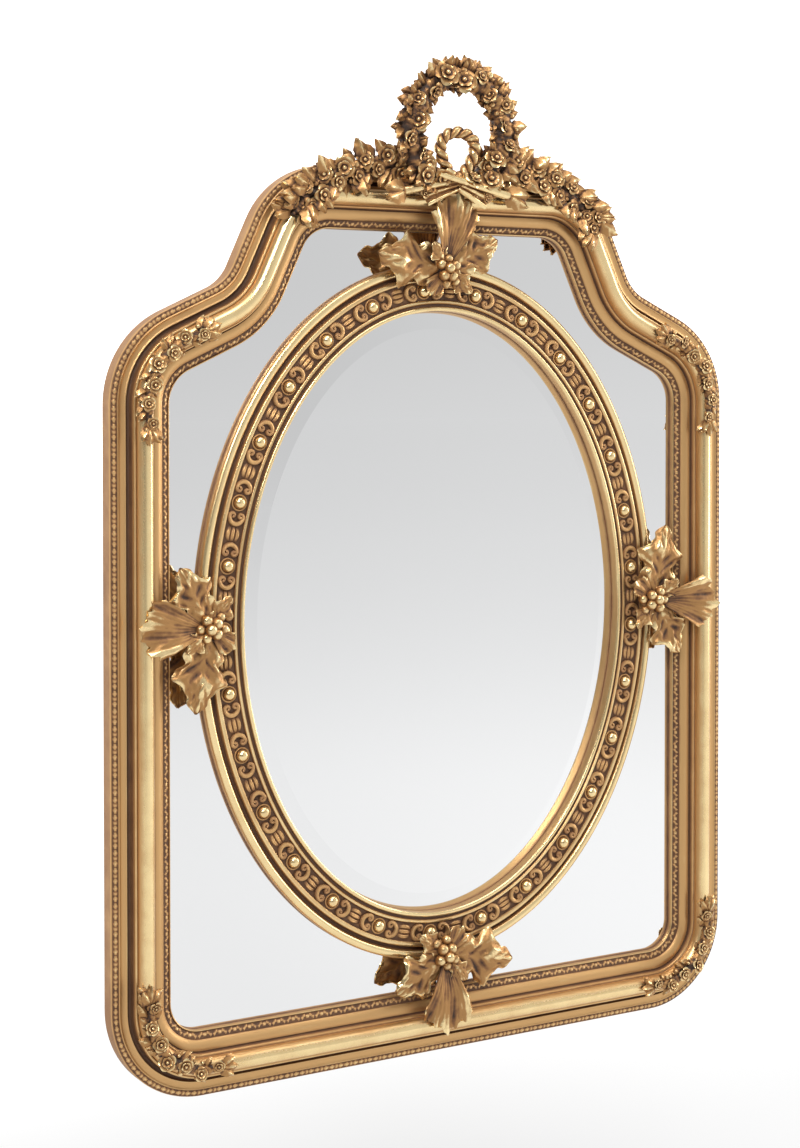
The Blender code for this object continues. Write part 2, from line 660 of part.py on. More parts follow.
def leaflet(base, way, length, width, lift=0.0):
    """A small pointed leaf from its base along a way in (x, z), its tip raised by lift."""
    ahead = Vector((way[0], -lift, way[1])).normalized()
    aside = Vector((-ahead.z, 0.0, ahead.x)).normalized()
    front = ahead.cross(aside)
    if front.y > 0:
        front = -front
    middle = base + ahead * length * 0.5
    bm = bmesh.new()
    start = bm.verts.new(base - ahead * LEAFLET_THICKNESS)
    tip = bm.verts.new(base + ahead * length)
    left = bm.verts.new(middle + aside * width)
    right = bm.verts.new(middle - aside * width)
    ridge = bm.verts.new(middle + front * LEAFLET_THICKNESS)
    for side in (left, right):
        bm.faces.new((start, side, ridge))
        bm.faces.new((tip, ridge, side))
    bm.faces.new((start, left, tip))
    bm.faces.new((start, tip, right))
    return add_object("leaflet", bm)


def tube(points, radius, closed=False):
    """A rod of even thickness along points, closed round or with flat ends."""
    bm = bmesh.new()
    loops = []
    count = len(points)
    for index, point in enumerate(points):
        before = points[(index - 1) % count] if closed or index else point
        after = points[(index + 1) % count] if closed or index < count - 1 else point
        ahead = (after - before).normalized()
        aside = ahead.cross(Vector((0.0, 1.0, 0.0))).normalized()
        over = aside.cross(ahead)
        loop = []
        for side in range(TUBE_SIDES):
            angle = 2 * pi * (side + 0.5) / TUBE_SIDES
            loop.append(bm.verts.new(point + radius * (aside * cos(angle) + over * sin(angle))))
        loops.append(loop)
    pairs = list(zip(loops, loops[1:]))
    if closed:
        pairs.append((loops[-1], loops[0]))
    else:
        bm.faces.new(loops[0])
        bm.faces.new(loops[-1])
    for before, after in pairs:
        for side in range(TUBE_SIDES):
            beside = (side + 1) % TUBE_SIDES
            bm.faces.new((before[side], before[beside], after[beside], after[side]))
    return add_object("tube", bm)


def walk(points, distance):
    """Point and direction at a distance along a line of (x, z) points."""
    for here, there in zip(points, points[1:]):
        length = (there - here).length
        if distance <= length and length > 0:
            return here.lerp(there, distance / length), (there - here) / length
        distance -= length
    way = (points[-1] - points[-2]).normalized()
    return points[-1] + way * distance, way


def torus_line(side):
    """The crown of the torus on one side, from the bottom middle up to the top middle.

    It comes with the distances along it to the middles of the bottom corner and the shoulder.
    """
    line = [Vector((0.0, BOTTOM_SIGHT_Z - TORUS_LINE))]
    ends = []
    for quarter in frame_quarters():
        first = len(line)
        line += [point + out * TORUS_LINE for point, out in quarter]
        ends.append((first, len(line) - 1))
    line.append(Vector((0.0, TOP_SIGHT_Z + TORUS_LINE)))
    walked = [0.0]
    for here, there in zip(line, line[1:]):
        walked.append(walked[-1] + (there - here).length)
    middles = [(walked[first] + walked[last]) / 2 for first, last in ends[:2]]
    return [Vector((side * point.x, point.y)) for point in line], middles


def garland(name, side, corner):
    """A spray of blossoms and leaves over the torus, round one corner of the frame."""
    line, middles = torus_line(side)
    middle = middles[corner]
    reach = GARLAND_LENGTH - 2 * LEAFLET_LENGTH * 0.8
    spine = []
    for step in range(GARLAND_BLOSSOMS + 1):
        spot, _ = walk(line, middle + reach * (step / GARLAND_BLOSSOMS - 0.5))
        spine.append(place(spot.x, TORUS_FRONT, spot.y))
    core = tube(spine, GARLAND_CORE_RADIUS)
    parts = []
    for index in range(GARLAND_BLOSSOMS):
        share = 2 * index / (GARLAND_BLOSSOMS - 1) - 1
        spot, way = walk(line, middle + reach * 0.5 * share)
        out = Vector((way.y, -way.x)) * side
        edge = 1 if index % 2 else -1
        heart = spot + out * edge * GARLAND_SWING
        parts.append(blossom(place(heart.x, TORUS_FRONT + BLOSSOM_DEPTH / 2, heart.y),
                             BLOSSOM_RADIUS * (1.1 - 0.35 * abs(share)),
                             BLOSSOM_TURN * side * edge))
        lean = (way * 0.6 * (1 if share > 0 else -1) - out * edge).normalized()
        parts.append(leaflet(place(spot.x, TORUS_FRONT + LEAFLET_THICKNESS / 2, spot.y), lean,
                             LEAFLET_LENGTH, LEAFLET_WIDTH * 0.7, -LEAFLET_DIP))
    for end in (-1, 1):
        spot, way = walk(line, middle + end * reach / 2)
        parts.append(leaflet(place(spot.x, TORUS_FRONT + 0.003, spot.y), way * end,
                             LEAFLET_LENGTH, LEAFLET_WIDTH * 0.8))
    combine(core, parts, "UNION")
    return seat_ornament(core, name, (outer_seat(),))


def garlands():
    """Garlands on both shoulders and both bottom corners."""
    for side_name, side in (("left", -1), ("right", 1)):
        for corner, corner_name in enumerate(("lower", "upper")):
            garland(f"corner_garland_{corner_name}_{side_name}", side, corner)


def wreath_spot(angle, away, forward=0.0):
    """A point of the wreath at an angle and a distance from its middle, leaning forward."""
    rise = away * sin(angle)
    return place(away * cos(angle), WREATH_FORWARD + forward + rise * sin(WREATH_LEAN),
                 WREATH_RISE + rise * cos(WREATH_LEAN))


def wreath():
    """An open ring of roses and leaves, and what is joined to it."""
    spine = [wreath_spot(2 * pi * step / WREATH_STEPS, WREATH_RADIUS)
             for step in range(WREATH_STEPS)]
    ring = tube(spine, WREATH_TUBE_RADIUS, closed=True)
    parts = []
    for index in range(WREATH_ROSES):
        angle = ROSE_START + ROSE_SWEEP * index / (WREATH_ROSES - 1)
        away = WREATH_RADIUS + GARLAND_SWING * (0.5 if index % 2 else -0.5)
        spot = wreath_spot(angle, away, WREATH_TUBE_RADIUS * 0.8)
        parts.append(blossom(spot, ROSE_RADIUS, ROSE_TILT * cos(angle), ROSE_TILT * sin(angle)))
    for index in range(WREATH_LEAVES):
        angle = WREATH_LEAF_START + WREATH_LEAF_SWEEP * index / (WREATH_LEAVES - 1)
        root = wreath_spot(angle, WREATH_RADIUS + WREATH_TUBE_RADIUS * 0.5)
        swing = angle + (0.5 if index % 2 else -0.35)
        parts.append(leaflet(root, (cos(swing), sin(swing)), LEAFLET_LENGTH * 0.85,
                             LEAFLET_WIDTH * 0.6, 0.1))
    return ring, parts


def bow():
    """A twisted ribbon loop standing up from its knot inside the wreath."""
    spine = []
    for step in range(BOW_STEPS):
        angle = 2 * pi * step / BOW_STEPS
        rise = BOW_HEIGHT * (1 - cos(angle)) / 2
        across = BOW_WIDTH / 2 * sin(angle) * (0.62 + 0.38 * rise / BOW_HEIGHT)
        spine.append(place(across, WREATH_FORWARD + rise * sin(WREATH_LEAN), KNOT_RISE + rise))
    return [tube(spine, BOW_WIRE_RADIUS, closed=True),
            ball(0.0, WREATH_FORWARD, KNOT_RISE, KNOT_RADIUS)]


def torches():
    """Two crossed rods on the rail, each with a leafy end, and the folds and flowers round them."""
    parts = []
    lowest = TORUS_FRONT + TORCH_RADIUS
    for side in (-1, 1):
        forward = lowest + (TORCH_RADIUS * 0.2 if side > 0 else 0.0)
        inner = place(-side * KNOT_RADIUS * 1.5, forward + TORCH_RADIUS / 2, KNOT_RISE)
        outer = place(side * TORCH_LENGTH, forward, KNOT_RISE - TORCH_FALL)
        parts.append(tube([inner, outer], TORCH_RADIUS))
        parts.append(leaflet(outer.lerp(inner, 0.16), (side, -0.25), LEAFLET_LENGTH * 1.25,
                             LEAFLET_WIDTH * 0.9))
        parts.append(blossom(place(side * ROSE_RADIUS * TORCH_FLOWER_SPREAD, lowest,
                                   KNOT_RISE - TORCH_FALL / 2), ROSE_RADIUS))
    parts.append(blossom(place(0.0, lowest + TORCH_RADIUS, KNOT_RISE - TORCH_FALL / 3),
                         ROSE_RADIUS))
    return parts


def swag_line(side):
    """The spine of one swag in (x, z), from beside the knot out over the top corner."""
    start = Vector((KNOT_RADIUS * 3, SWAG_RISE))
    end = Vector((SWAG_REACH - LEAFLET_LENGTH / 2, -SWAG_DROP))
    line = []
    for step in range(SWAG_BLOSSOMS + 1):
        share = step / SWAG_BLOSSOMS
        line.append(Vector((side * (start.x + (end.x - start.x) * share),
                            start.y + (end.y - start.y) * share ** SWAG_CURVE)))
    return line


def swag(side):
    """Blossoms and leaves along one side of the crest."""
    line = swag_line(side)
    length = sum((there - here).length for here, there in zip(line, line[1:]))
    parts = [tube([place(point.x, SWAG_FORWARD, point.y) for point in line], SWAG_CORE_RADIUS)]
    for index in range(SWAG_BLOSSOMS):
        share = (index + 0.7) / SWAG_BLOSSOMS
        spot, way = walk(line, length * share)
        out = Vector((way.y, -way.x)) * -side
        edge = 1 if index % 2 else -1
        heart = spot + out * edge * SWAG_CORE_RADIUS * 0.7
        parts.append(blossom(place(heart.x, SWAG_FORWARD + SWAG_CORE_RADIUS * 0.8, heart.y),
                             ROSE_RADIUS * (1.15 - 0.3 * share), BLOSSOM_TURN * side,
                             ROSE_TILT * edge))
        parts.append(leaflet(place(spot.x, SWAG_FORWARD + SWAG_CORE_RADIUS / 2, spot.y),
                             (way * 0.6 - out * edge).normalized(), LEAFLET_LENGTH * 1.2,
                             LEAFLET_WIDTH * 0.8))
    parts.append(leaflet(place(line[-1].x, SWAG_FORWARD, line[-1].y), line[-1] - line[-2],
                         LEAFLET_LENGTH, LEAFLET_WIDTH, 0.3))
    return parts


def crest():
    """Wreath, bow, torches and swags, cast together and seated on the top rail."""
    ring, parts = wreath()
    parts += bow() + torches() + swag(-1) + swag(1)
    combine(ring, parts, "UNION")
    return seat_ornament(ring, "crest", (outer_seat(),))


def build():
    """Make every piece of the mirror."""
    clear_scene()
    sweep_ring("outer_frame", frame_outline(), frame_section(), GILT_WOOD)
    oval_frame()
    oval_mirror()
    margin_mirrors()
    flat_plate("backing_board", rebate_outline(), BOARD_RECESS, BOARD_FRONT, BOARD)
    leaf_ornaments()
    garlands()
    crest()


build()
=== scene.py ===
"""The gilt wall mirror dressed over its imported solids: mouldings, carving, castings and glass.

Every carved or cast piece is worked flat on a bench, with x across, y up and z the height above
the wall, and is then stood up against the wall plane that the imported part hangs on. Lengths are
in metres. The stage around the mirror is the photograph's: white, with a soft grey in the glass.
"""

from __future__ import annotations

import json
import logging
import random
from dataclasses import dataclass, field
from enum import Enum
from math import atan2, ceil, cos, exp, hypot, pi, radians, sin, sqrt, tan
from typing import Callable, Sequence

import bpy
from mathutils import Matrix, Vector, noise
from mathutils.bvhtree import BVHTree

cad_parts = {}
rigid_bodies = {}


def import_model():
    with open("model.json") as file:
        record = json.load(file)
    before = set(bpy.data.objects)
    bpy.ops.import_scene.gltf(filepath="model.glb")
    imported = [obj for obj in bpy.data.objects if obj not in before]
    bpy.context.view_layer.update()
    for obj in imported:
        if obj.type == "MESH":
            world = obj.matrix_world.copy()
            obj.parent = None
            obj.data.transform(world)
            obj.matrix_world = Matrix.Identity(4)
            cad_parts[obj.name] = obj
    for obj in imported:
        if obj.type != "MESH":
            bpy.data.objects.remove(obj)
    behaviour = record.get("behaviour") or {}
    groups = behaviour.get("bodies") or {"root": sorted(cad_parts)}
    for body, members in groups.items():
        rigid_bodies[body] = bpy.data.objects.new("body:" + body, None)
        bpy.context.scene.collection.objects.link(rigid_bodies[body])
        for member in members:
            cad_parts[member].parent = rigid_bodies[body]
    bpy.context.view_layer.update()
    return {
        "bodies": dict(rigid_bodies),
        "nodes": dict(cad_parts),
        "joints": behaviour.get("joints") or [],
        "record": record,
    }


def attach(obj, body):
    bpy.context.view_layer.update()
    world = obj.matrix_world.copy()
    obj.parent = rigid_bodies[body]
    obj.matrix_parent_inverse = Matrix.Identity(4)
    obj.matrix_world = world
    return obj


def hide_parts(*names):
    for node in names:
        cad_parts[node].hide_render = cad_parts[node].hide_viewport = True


log = logging.getLogger("mirror")

# The relief level drives the gilding's colour: low levels take painted shade with the glazing, high
# ones a painted highlight with the burnish.
RELIEF = "relief"
STAND_UP = Matrix.Rotation(pi / 2, 4, "X")

Shaper = Callable[[float, float], tuple[Vector, float]]
Station = tuple[Vector, Vector]


class Slot(Enum):
    """The record's material slot names."""

    WOOD = "gilt_wood"
    CAST = "gilt_composition"
    GLASS = "mirror_glass"


# Bench work


def deselect() -> None:
    """Leave nothing selected, so that an operator acts on the new piece alone."""
    bpy.ops.object.select_all(action="DESELECT")


def pick(piece: bpy.types.Object) -> None:
    """Make a piece the only one selected and the active one, ready for an operator."""
    deselect()
    piece.select_set(True)
    bpy.context.view_layer.objects.active = piece


def on_faces(piece: bpy.types.Object, operator: Callable[..., set], **settings: float) -> None:
    """Run an edit-mode operator on all of a piece's faces.

    Args:
        piece: The piece.
        operator: The operator.
        **settings: Its settings.
    """
    pick(piece)
    bpy.ops.object.mode_set(mode="EDIT")
    bpy.ops.mesh.select_all(action="SELECT")
    operator(**settings)
    bpy.ops.object.mode_set(mode="OBJECT")


def place_new(name: str, data: bpy.types.ID) -> bpy.types.Object:
    """Put new data into the scene.

    Args:
        name: The object's name.
        data: Its mesh, curve, light or camera.

    Returns:
        The object.
    """
    made = bpy.data.objects.new(name, data)
    bpy.context.scene.collection.objects.link(made)
    return made


def primitive(kind: str, **sizes: float) -> bpy.types.Object:
    """Add a mesh primitive on its own.

    Args:
        kind: The primitive's operator name without its common ends, such as "grid".
        **sizes: The operator's own settings.

    Returns:
        The new object.
    """
    deselect()
    getattr(bpy.ops.mesh, f"primitive_{kind}_add")(**sizes)
    return bpy.context.active_object


def mark(piece: bpy.types.Object, values: Sequence[float]) -> None:
    """Store how high each vertex stands in its carving.

    Args:
        piece: The piece.
        values: One level for each vertex, from 0 in a hollow to 1 on a crown.
    """
    layer = piece.data.attributes.get(RELIEF)
    if layer is None:
        layer = piece.data.attributes.new(RELIEF, "FLOAT", "POINT")
    layer.data.foreach_set("value", [min(max(value, 0.0), 1.0) for value in values])


def mark_by_height(piece: bpy.types.Object, low: float = 0.0, high: float = 1.0) -> None:
    """Mark a small form's relief by each vertex's height in it.

    Args:
        piece: The form.
        low: The level at its foot.
        high: The level at its top.
    """
    heights = [vertex.co.z for vertex in piece.data.vertices]
    bottom = min(heights)
    span = max(max(heights) - bottom, 1e-6)
    mark(piece, [low + (high - low) * (height - bottom) / span for height in heights])


def patch(columns: int, rows: int, shaper: Shaper) -> bpy.types.Object:
    """Shape a sheet from a grid.

    Args:
        columns: Cells across, for a from -1 to 1.
        rows: Cells along, for b from -1 to 1.
        shaper: Gives the place and the relief of the grid's point (a, b).

    Returns:
        The shaped sheet.
    """
    sheet = primitive("grid", x_subdivisions=columns, y_subdivisions=rows, size=2.0)
    levels = []
    for vertex in sheet.data.vertices:
        vertex.co, level = shaper(vertex.co.x, vertex.co.y)
        levels.append(level)
    mark(sheet, levels)
    return sheet


def apply_modifier(piece: bpy.types.Object, kind: str, **settings: float) -> bpy.types.Object:
    """Add one modifier to a piece and apply it.

    Args:
        piece: The piece.
        kind: The modifier's type.
        **settings: Its settings.

    Returns:
        The same piece.
    """
    pick(piece)
    step = piece.modifiers.new("step", kind)
    for name, value in settings.items():
        setattr(step, name, value)
    bpy.ops.object.modifier_apply(modifier=step.name)
    return piece


def thicken(sheet: bpy.types.Object, thickness: float) -> bpy.types.Object:
    """Give a sheet its wall, behind its front."""
    return apply_modifier(sheet, "SOLIDIFY", thickness=thickness, offset=-1.0)


def copy_of(pattern: bpy.types.Object, place: Matrix) -> bpy.types.Object:
    """Copy a pattern with a mesh of its own.

    Args:
        pattern: What is copied.
        place: Where the copy goes. One that mirrors turns its faces outward again.

    Returns:
        The copy.
    """
    mesh = pattern.data.copy()
    mesh.transform(place)
    if place.determinant() < 0:
        mesh.flip_normals()
    return place_new(pattern.name, mesh)


def join(name: str, pieces: Sequence[bpy.types.Object]) -> bpy.types.Object:
    """Join pieces into one.

    Args:
        name: The name of what they make.
        pieces: The pieces, of which the first takes in the others.

    Returns:
        The joined object.
    """
    pick(pieces[0])
    for piece in pieces:
        piece.select_set(True)
    if len(pieces) > 1:
        bpy.ops.object.join()
    made = bpy.context.view_layer.objects.active
    made.name = name
    made.data.name = name
    return made


def discard(*pieces: bpy.types.Object) -> None:
    """Remove patterns that have been copied."""
    for piece in pieces:
        bpy.data.objects.remove(piece, do_unlink=True)


def turn_and_move(x: float, y: float, z: float, turn: float = 0.0, size: float = 1.0,
                  tip: float = 0.0, roll: float = 0.0) -> Matrix:
    """Place on the bench.

    Args:
        x: The move to the right.
        y: The move up.
        z: The move out of the bench.
        turn: The turn in its plane.
        size: The size, applied first.
        tip: The tip about x.
        roll: The roll about y, before the tip.

    Returns:
        The whole placing.
    """
    return (Matrix.Translation((x, y, z)) @ Matrix.Rotation(turn, 4, "Z")
            @ Matrix.Rotation(tip, 4, "X") @ Matrix.Rotation(roll, 4, "Y")
            @ Matrix.Scale(size, 4))


def glaze_and_shade_hollows(piece: bpy.types.Object, reach: float, depth: float = 1.0,
                  rays: int = 12) -> bpy.types.Object:
    """Lower the relief where the form closes in round a point: painted shade worked out from how
    closed in it is, along with the glazing that gathers there.

    Args:
        piece: The piece, marked with its relief.
        reach: How near another surface has to be to count.
        depth: How far a wholly closed-in point sinks.
        rays: How many ways are tried from each point.

    Returns:
        The same piece.
    """
    mesh = piece.data
    tree = BVHTree.FromPolygons([vertex.co for vertex in mesh.vertices],
                                [tuple(face.vertices) for face in mesh.polygons])
    ways = []
    for index in range(rays):
        up = 0.12 + 0.86 * (index + 0.5) / rays
        around = index * pi * (3 - sqrt(5))
        flat = sqrt(1 - up * up)
        ways.append(Vector((flat * cos(around), flat * sin(around), up)))
    levels = []
    marks = mesh.attributes[RELIEF].data
    for vertex in mesh.vertices:
        normal = vertex.normal
        turned = normal.to_track_quat("Z", "Y")
        start = vertex.co + normal * 0.0003
        closed = sum(tree.ray_cast(start, turned @ way, reach)[0] is not None for way in ways)
        levels.append(marks[vertex.index].value + 0.10 - depth * closed / rays)
    mark(piece, levels)
    return piece


def wire(points: Sequence[Vector], radii: Sequence[float], closed: bool = False,
         resolution: int = 3) -> bpy.types.Object:
    """A round wire along points, as a curve turned into a mesh.

    Args:
        points: Where its middle runs.
        radii: Its radius at each point.
        closed: Whether it joins up with its start.
        resolution: How round its section is.

    Returns:
        The wire as a mesh object.
    """
    data = bpy.data.curves.new("wire", "CURVE")
    data.dimensions = "3D"
    data.bevel_depth = 1.0
    data.bevel_resolution = resolution
    data.use_fill_caps = not closed
    spline = data.splines.new("POLY")
    spline.points.add(len(points) - 1)
    spline.use_cyclic_u = closed
    for knot, point, radius in zip(spline.points, points, radii):
        knot.co = (*point, 1.0)
        knot.radius = radius
    pick(place_new("wire", data))
    bpy.ops.object.convert(target="MESH")
    return bpy.context.active_object


def finish_piece(piece: bpy.types.Object, name: str, finish: bpy.types.Material,
                 stands_for: Sequence[str], crease: float = 40.0) -> bpy.types.Object:
    """Stand a benched piece up and put it into the frame.

    Args:
        piece: The piece as it lies on the bench.
        name: Its name.
        finish: Its material.
        stands_for: The CAD nodes that it takes the place of.
        crease: Edges turned more than this many degrees stay sharp.

    Returns:
        The finished piece.
    """
    piece.name = name
    piece.data.name = name
    piece.data.transform(STAND_UP)
    piece.data.materials.clear()
    piece.data.materials.append(finish)
    on_faces(piece, bpy.ops.mesh.remove_doubles, threshold=0.00001)
    bpy.ops.object.shade_smooth_by_angle(angle=radians(crease))
    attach(piece, "root")
    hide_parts(*stands_for)
    log.info("%s: %d faces", name, len(piece.data.polygons))
    return piece


# Lines that mouldings and ornaments follow


class Line:
    """A closed line of stations, each a point and its outward normal."""

    def __init__(self, stations: Sequence[Station], offset: float) -> None:
        """Measure the line along a parallel one.

        Args:
            stations: Points and outward normals, in order.
            offset: How far outward the parallel line runs, on which distances are measured.
        """
        self.stations = [*stations, stations[0]]
        self.walked = [0.0]
        for (here, out), (there, after) in zip(self.stations, self.stations[1:]):
            step = (there + after * offset - here - out * offset).length
            self.walked.append(self.walked[-1] + step)
        self.length = self.walked[-1]

    def at(self, distance: float, outward: float) -> Vector:
        """The point at a distance along the line and a distance outward."""
        point, out = self.station(distance)
        return point + out * outward

    def station(self, distance: float) -> Station:
        """Look up a place on the line.

        Args:
            distance: How far along it the place is.

        Returns:
            The point and the outward normal there.
        """
        distance %= self.length
        low, high = 0, len(self.walked) - 1
        while high - low > 1:
            middle = (low + high) // 2
            if self.walked[middle] <= distance:
                low = middle
            else:
                high = middle
        span = self.walked[high] - self.walked[low]
        share = (distance - self.walked[low]) / span if span > 0 else 0.0
        (here, out), (there, after) = self.stations[low], self.stations[high]
        return here.lerp(there, share), out.lerp(after, share).normalized()

    def lay(self, pattern: bpy.types.Object, count: int, outward: float, height: float,
            lean: float = 0.0, start: float = 0.5) -> list[bpy.types.Object]:
        """Bend copies of a flat pattern along the line, one after another.

        Args:
            pattern: The motif at the bench's origin, with x along the line and y outward.
            count: How many copies go round.
            outward: Where the motif's middle lies.
            height: The height above the wall of the motif's own zero.
            lean: How much the height rises for each metre outward.
            start: Where the first copy stands, in pitches.

        Returns:
            The copies.
        """
        pitch = self.length / count
        twins = []
        for index in range(count):
            twin = copy_of(pattern, Matrix.Identity(4))
            middle = pitch * (index + start)
            for vertex in twin.data.vertices:
                along, aside, up = vertex.co
                spot = self.at(middle - along, outward + aside)
                vertex.co = (spot.x, spot.y, height + up + lean * aside)
            twin.data.flip_normals()
            twins.append(twin)
        return twins


@dataclass
class Profile:
    """A moulding's section: points (inward from its outer edge, height) and their relief."""

    points: list[tuple[float, float, float]] = field(default_factory=list)

    def to(self, inward: float, height: float, relief: float) -> "Profile":
        """Carry the section on to a point."""
        self.points.append((inward, height, relief))
        return self

    def round(self, middle: float, base: float, across: float, rise: float, start: float,
              end: float, steps: int, low: float, high: float) -> "Profile":
        """Carry the section over a round, from one angle to another in degrees.

        Args:
            middle: The round's middle, inward from the outer edge.
            base: The height of its middle.
            across: Its half width.
            rise: Its half height, negative for a hollow.
            start: First angle, from the outer side.
            end: Last angle.
            steps: Facets over it.
            low: Relief at its foot.
            high: Relief at its crown.

        Returns:
            The profile itself.
        """
        for step in range(steps + 1):
            angle = radians(start + (end - start) * step / steps)
            self.to(middle - across * cos(angle), base + rise * sin(angle),
                    low + (high - low) * abs(sin(angle)))
        return self

    def sweep(self, name: str, stations: Sequence[Station], edge: float) -> bpy.types.Object:
        """Carry the section round a closed line as one closed skin.

        Args:
            name: Name of the mesh.
            stations: The line's stations.
            edge: How far outward of the stations the section's outer edge lies.

        Returns:
            The moulding, flat on the bench.
        """
        spots = []
        for point, out in stations:
            for inward, height, _ in self.points:
                spot = point + out * (edge - inward)
                spots.append((spot.x, spot.y, height))
        count = len(self.points)
        total = len(stations)
        faces = []
        for index in range(total):
            here, there = index * count, (index + 1) % total * count
            for corner in range(count):
                beside = (corner + 1) % count
                faces.append((here + corner, there + corner, there + beside, here + beside))
        mesh = bpy.data.meshes.new(name)
        mesh.from_pydata(spots, [], faces)
        made = place_new(name, mesh)
        mark(made, [point[2] for point in self.points] * total)
        on_faces(made, bpy.ops.mesh.normals_make_consistent, inside=False)
        return made


# Finishes


@dataclass
class NodeSheet:
    """A node tree laid out node by node, each named with what feeds its inputs.

    A material's sheet also holds the material and its shader, and a group's sheet its two ends.
    """

    tree: bpy.types.NodeTree
    made: bpy.types.Material | None = None
    shader: bpy.types.Node | None = None
    ask: bpy.types.NodeOutputs | None = None
    give: bpy.types.Node | None = None

    @classmethod
    def surface(cls, name: str) -> "NodeSheet":
        """Start a new material's tree."""
        made = bpy.data.materials.new(name)
        made.use_nodes = True
        return cls(made.node_tree, made, made.node_tree.nodes["Principled BSDF"])

    def feed(self, node: bpy.types.Node, **feeds: object) -> bpy.types.Node:
        """Feed a node's inputs.

        Args:
            node: The node.
            **feeds: A value or a socket by the input's name, with _ for a space or, in front of
                a number, for the input of that number.

        Returns:
            The same node.
        """
        for name, value in feeds.items():
            key = int(name[1:]) if name[0] == "_" else name.replace("_", " ")
            if isinstance(value, bpy.types.NodeSocket):
                self.tree.links.new(value, node.inputs[key])
            else:
                node.inputs[key].default_value = value
        return node

    def add(self, kind: str, settings: dict[str, object] | None = None,
            **feeds: object) -> bpy.types.Node:
        """Add a node.

        Args:
            kind: Its type, without the common start.
            settings: What is set on the node itself.
            **feeds: What feeds its inputs, as feed() takes it.

        Returns:
            The node.
        """
        node = self.tree.nodes.new(f"ShaderNode{kind}")
        for name, value in (settings or {}).items():
            setattr(node, name, value)
        return self.feed(node, **feeds)

    def place(self) -> bpy.types.NodeSocket:
        """The object's own coordinates."""
        return self.add("TexCoord").outputs["Object"]

    def grain(self, scale: object, detail: float, rough: float,
              where: bpy.types.NodeSocket) -> bpy.types.NodeSocket:
        """Lay out a noise texture.

        Args:
            scale: How fine it is.
            detail: How many finer noises it holds.
            rough: How strong they are.
            where: The coordinates it lies on.

        Returns:
            Its value.
        """
        return self.add("TexNoise", Vector=where, Scale=scale, Detail=detail,
                        Roughness=rough).outputs["Fac"]

    def math(self, operation: str, first: object, second: object) -> bpy.types.NodeSocket:
        """Work one sum out."""
        return self.add("Math", {"operation": operation}, _0=first, _1=second).outputs[0]

    def about(self, value: bpy.types.NodeSocket, share: object) -> bpy.types.NodeSocket:
        """Centre a noise about nothing and take a share of it."""
        return self.math("MULTIPLY", self.math("SUBTRACT", value, 0.5), share)

    def spread(self, value: bpy.types.NodeSocket, reach: tuple[float, float],
               give: tuple[float, float] = (0.0, 1.0)) -> bpy.types.NodeSocket:
        """Map a value smoothly from one reach to another.

        Args:
            value: The value.
            reach: Where the step starts and ends.
            give: What it gives there.

        Returns:
            The mapped value.
        """
        return self.add("MapRange", {"interpolation_type": "SMOOTHSTEP"}, Value=value,
                        From_Min=reach[0], From_Max=reach[1], To_Min=give[0],
                        To_Max=give[1]).outputs["Result"]

    def mix(self, share: bpy.types.NodeSocket, first: object, second: object,
            kind: str = "RGBA") -> bpy.types.NodeSocket:
        """Mix two colours or values.

        Args:
            share: How much of the second shows.
            first: The first.
            second: The second.
            kind: RGBA for colours and FLOAT for values.

        Returns:
            The mixture.
        """
        return self.add("Mix", {"data_type": kind}, Factor=share, A=first,
                        B=second).outputs["Result"]

    def bump(self, height: bpy.types.NodeSocket, strength: float, distance: float) -> None:
        """Let a height raise the surface.

        Args:
            height: The height.
            strength: How much it counts.
            distance: How far its whole height is.
        """
        self.feed(self.shader, Normal=self.add(
            "Bump", Height=height, Strength=strength, Distance=distance).outputs["Normal"])


def node_group(name: str, inputs: dict[str, str], outputs: dict[str, str]) -> NodeSheet:
    """Start a node group.

    Args:
        name: Its name.
        inputs: Its inputs and their kinds.
        outputs: Its outputs and their kinds.

    Returns:
        Its sheet, with the ends as ask and give.
    """
    tree = bpy.data.node_groups.new(name, "ShaderNodeTree")
    for way, sockets in (("INPUT", inputs), ("OUTPUT", outputs)):
        for socket, kind in sockets.items():
            tree.interface.new_socket(name=socket, in_out=way, socket_type=f"NodeSocket{kind}")
    return NodeSheet(tree, ask=tree.nodes.new("NodeGroupInput").outputs,
                     give=tree.nodes.new("NodeGroupOutput"))


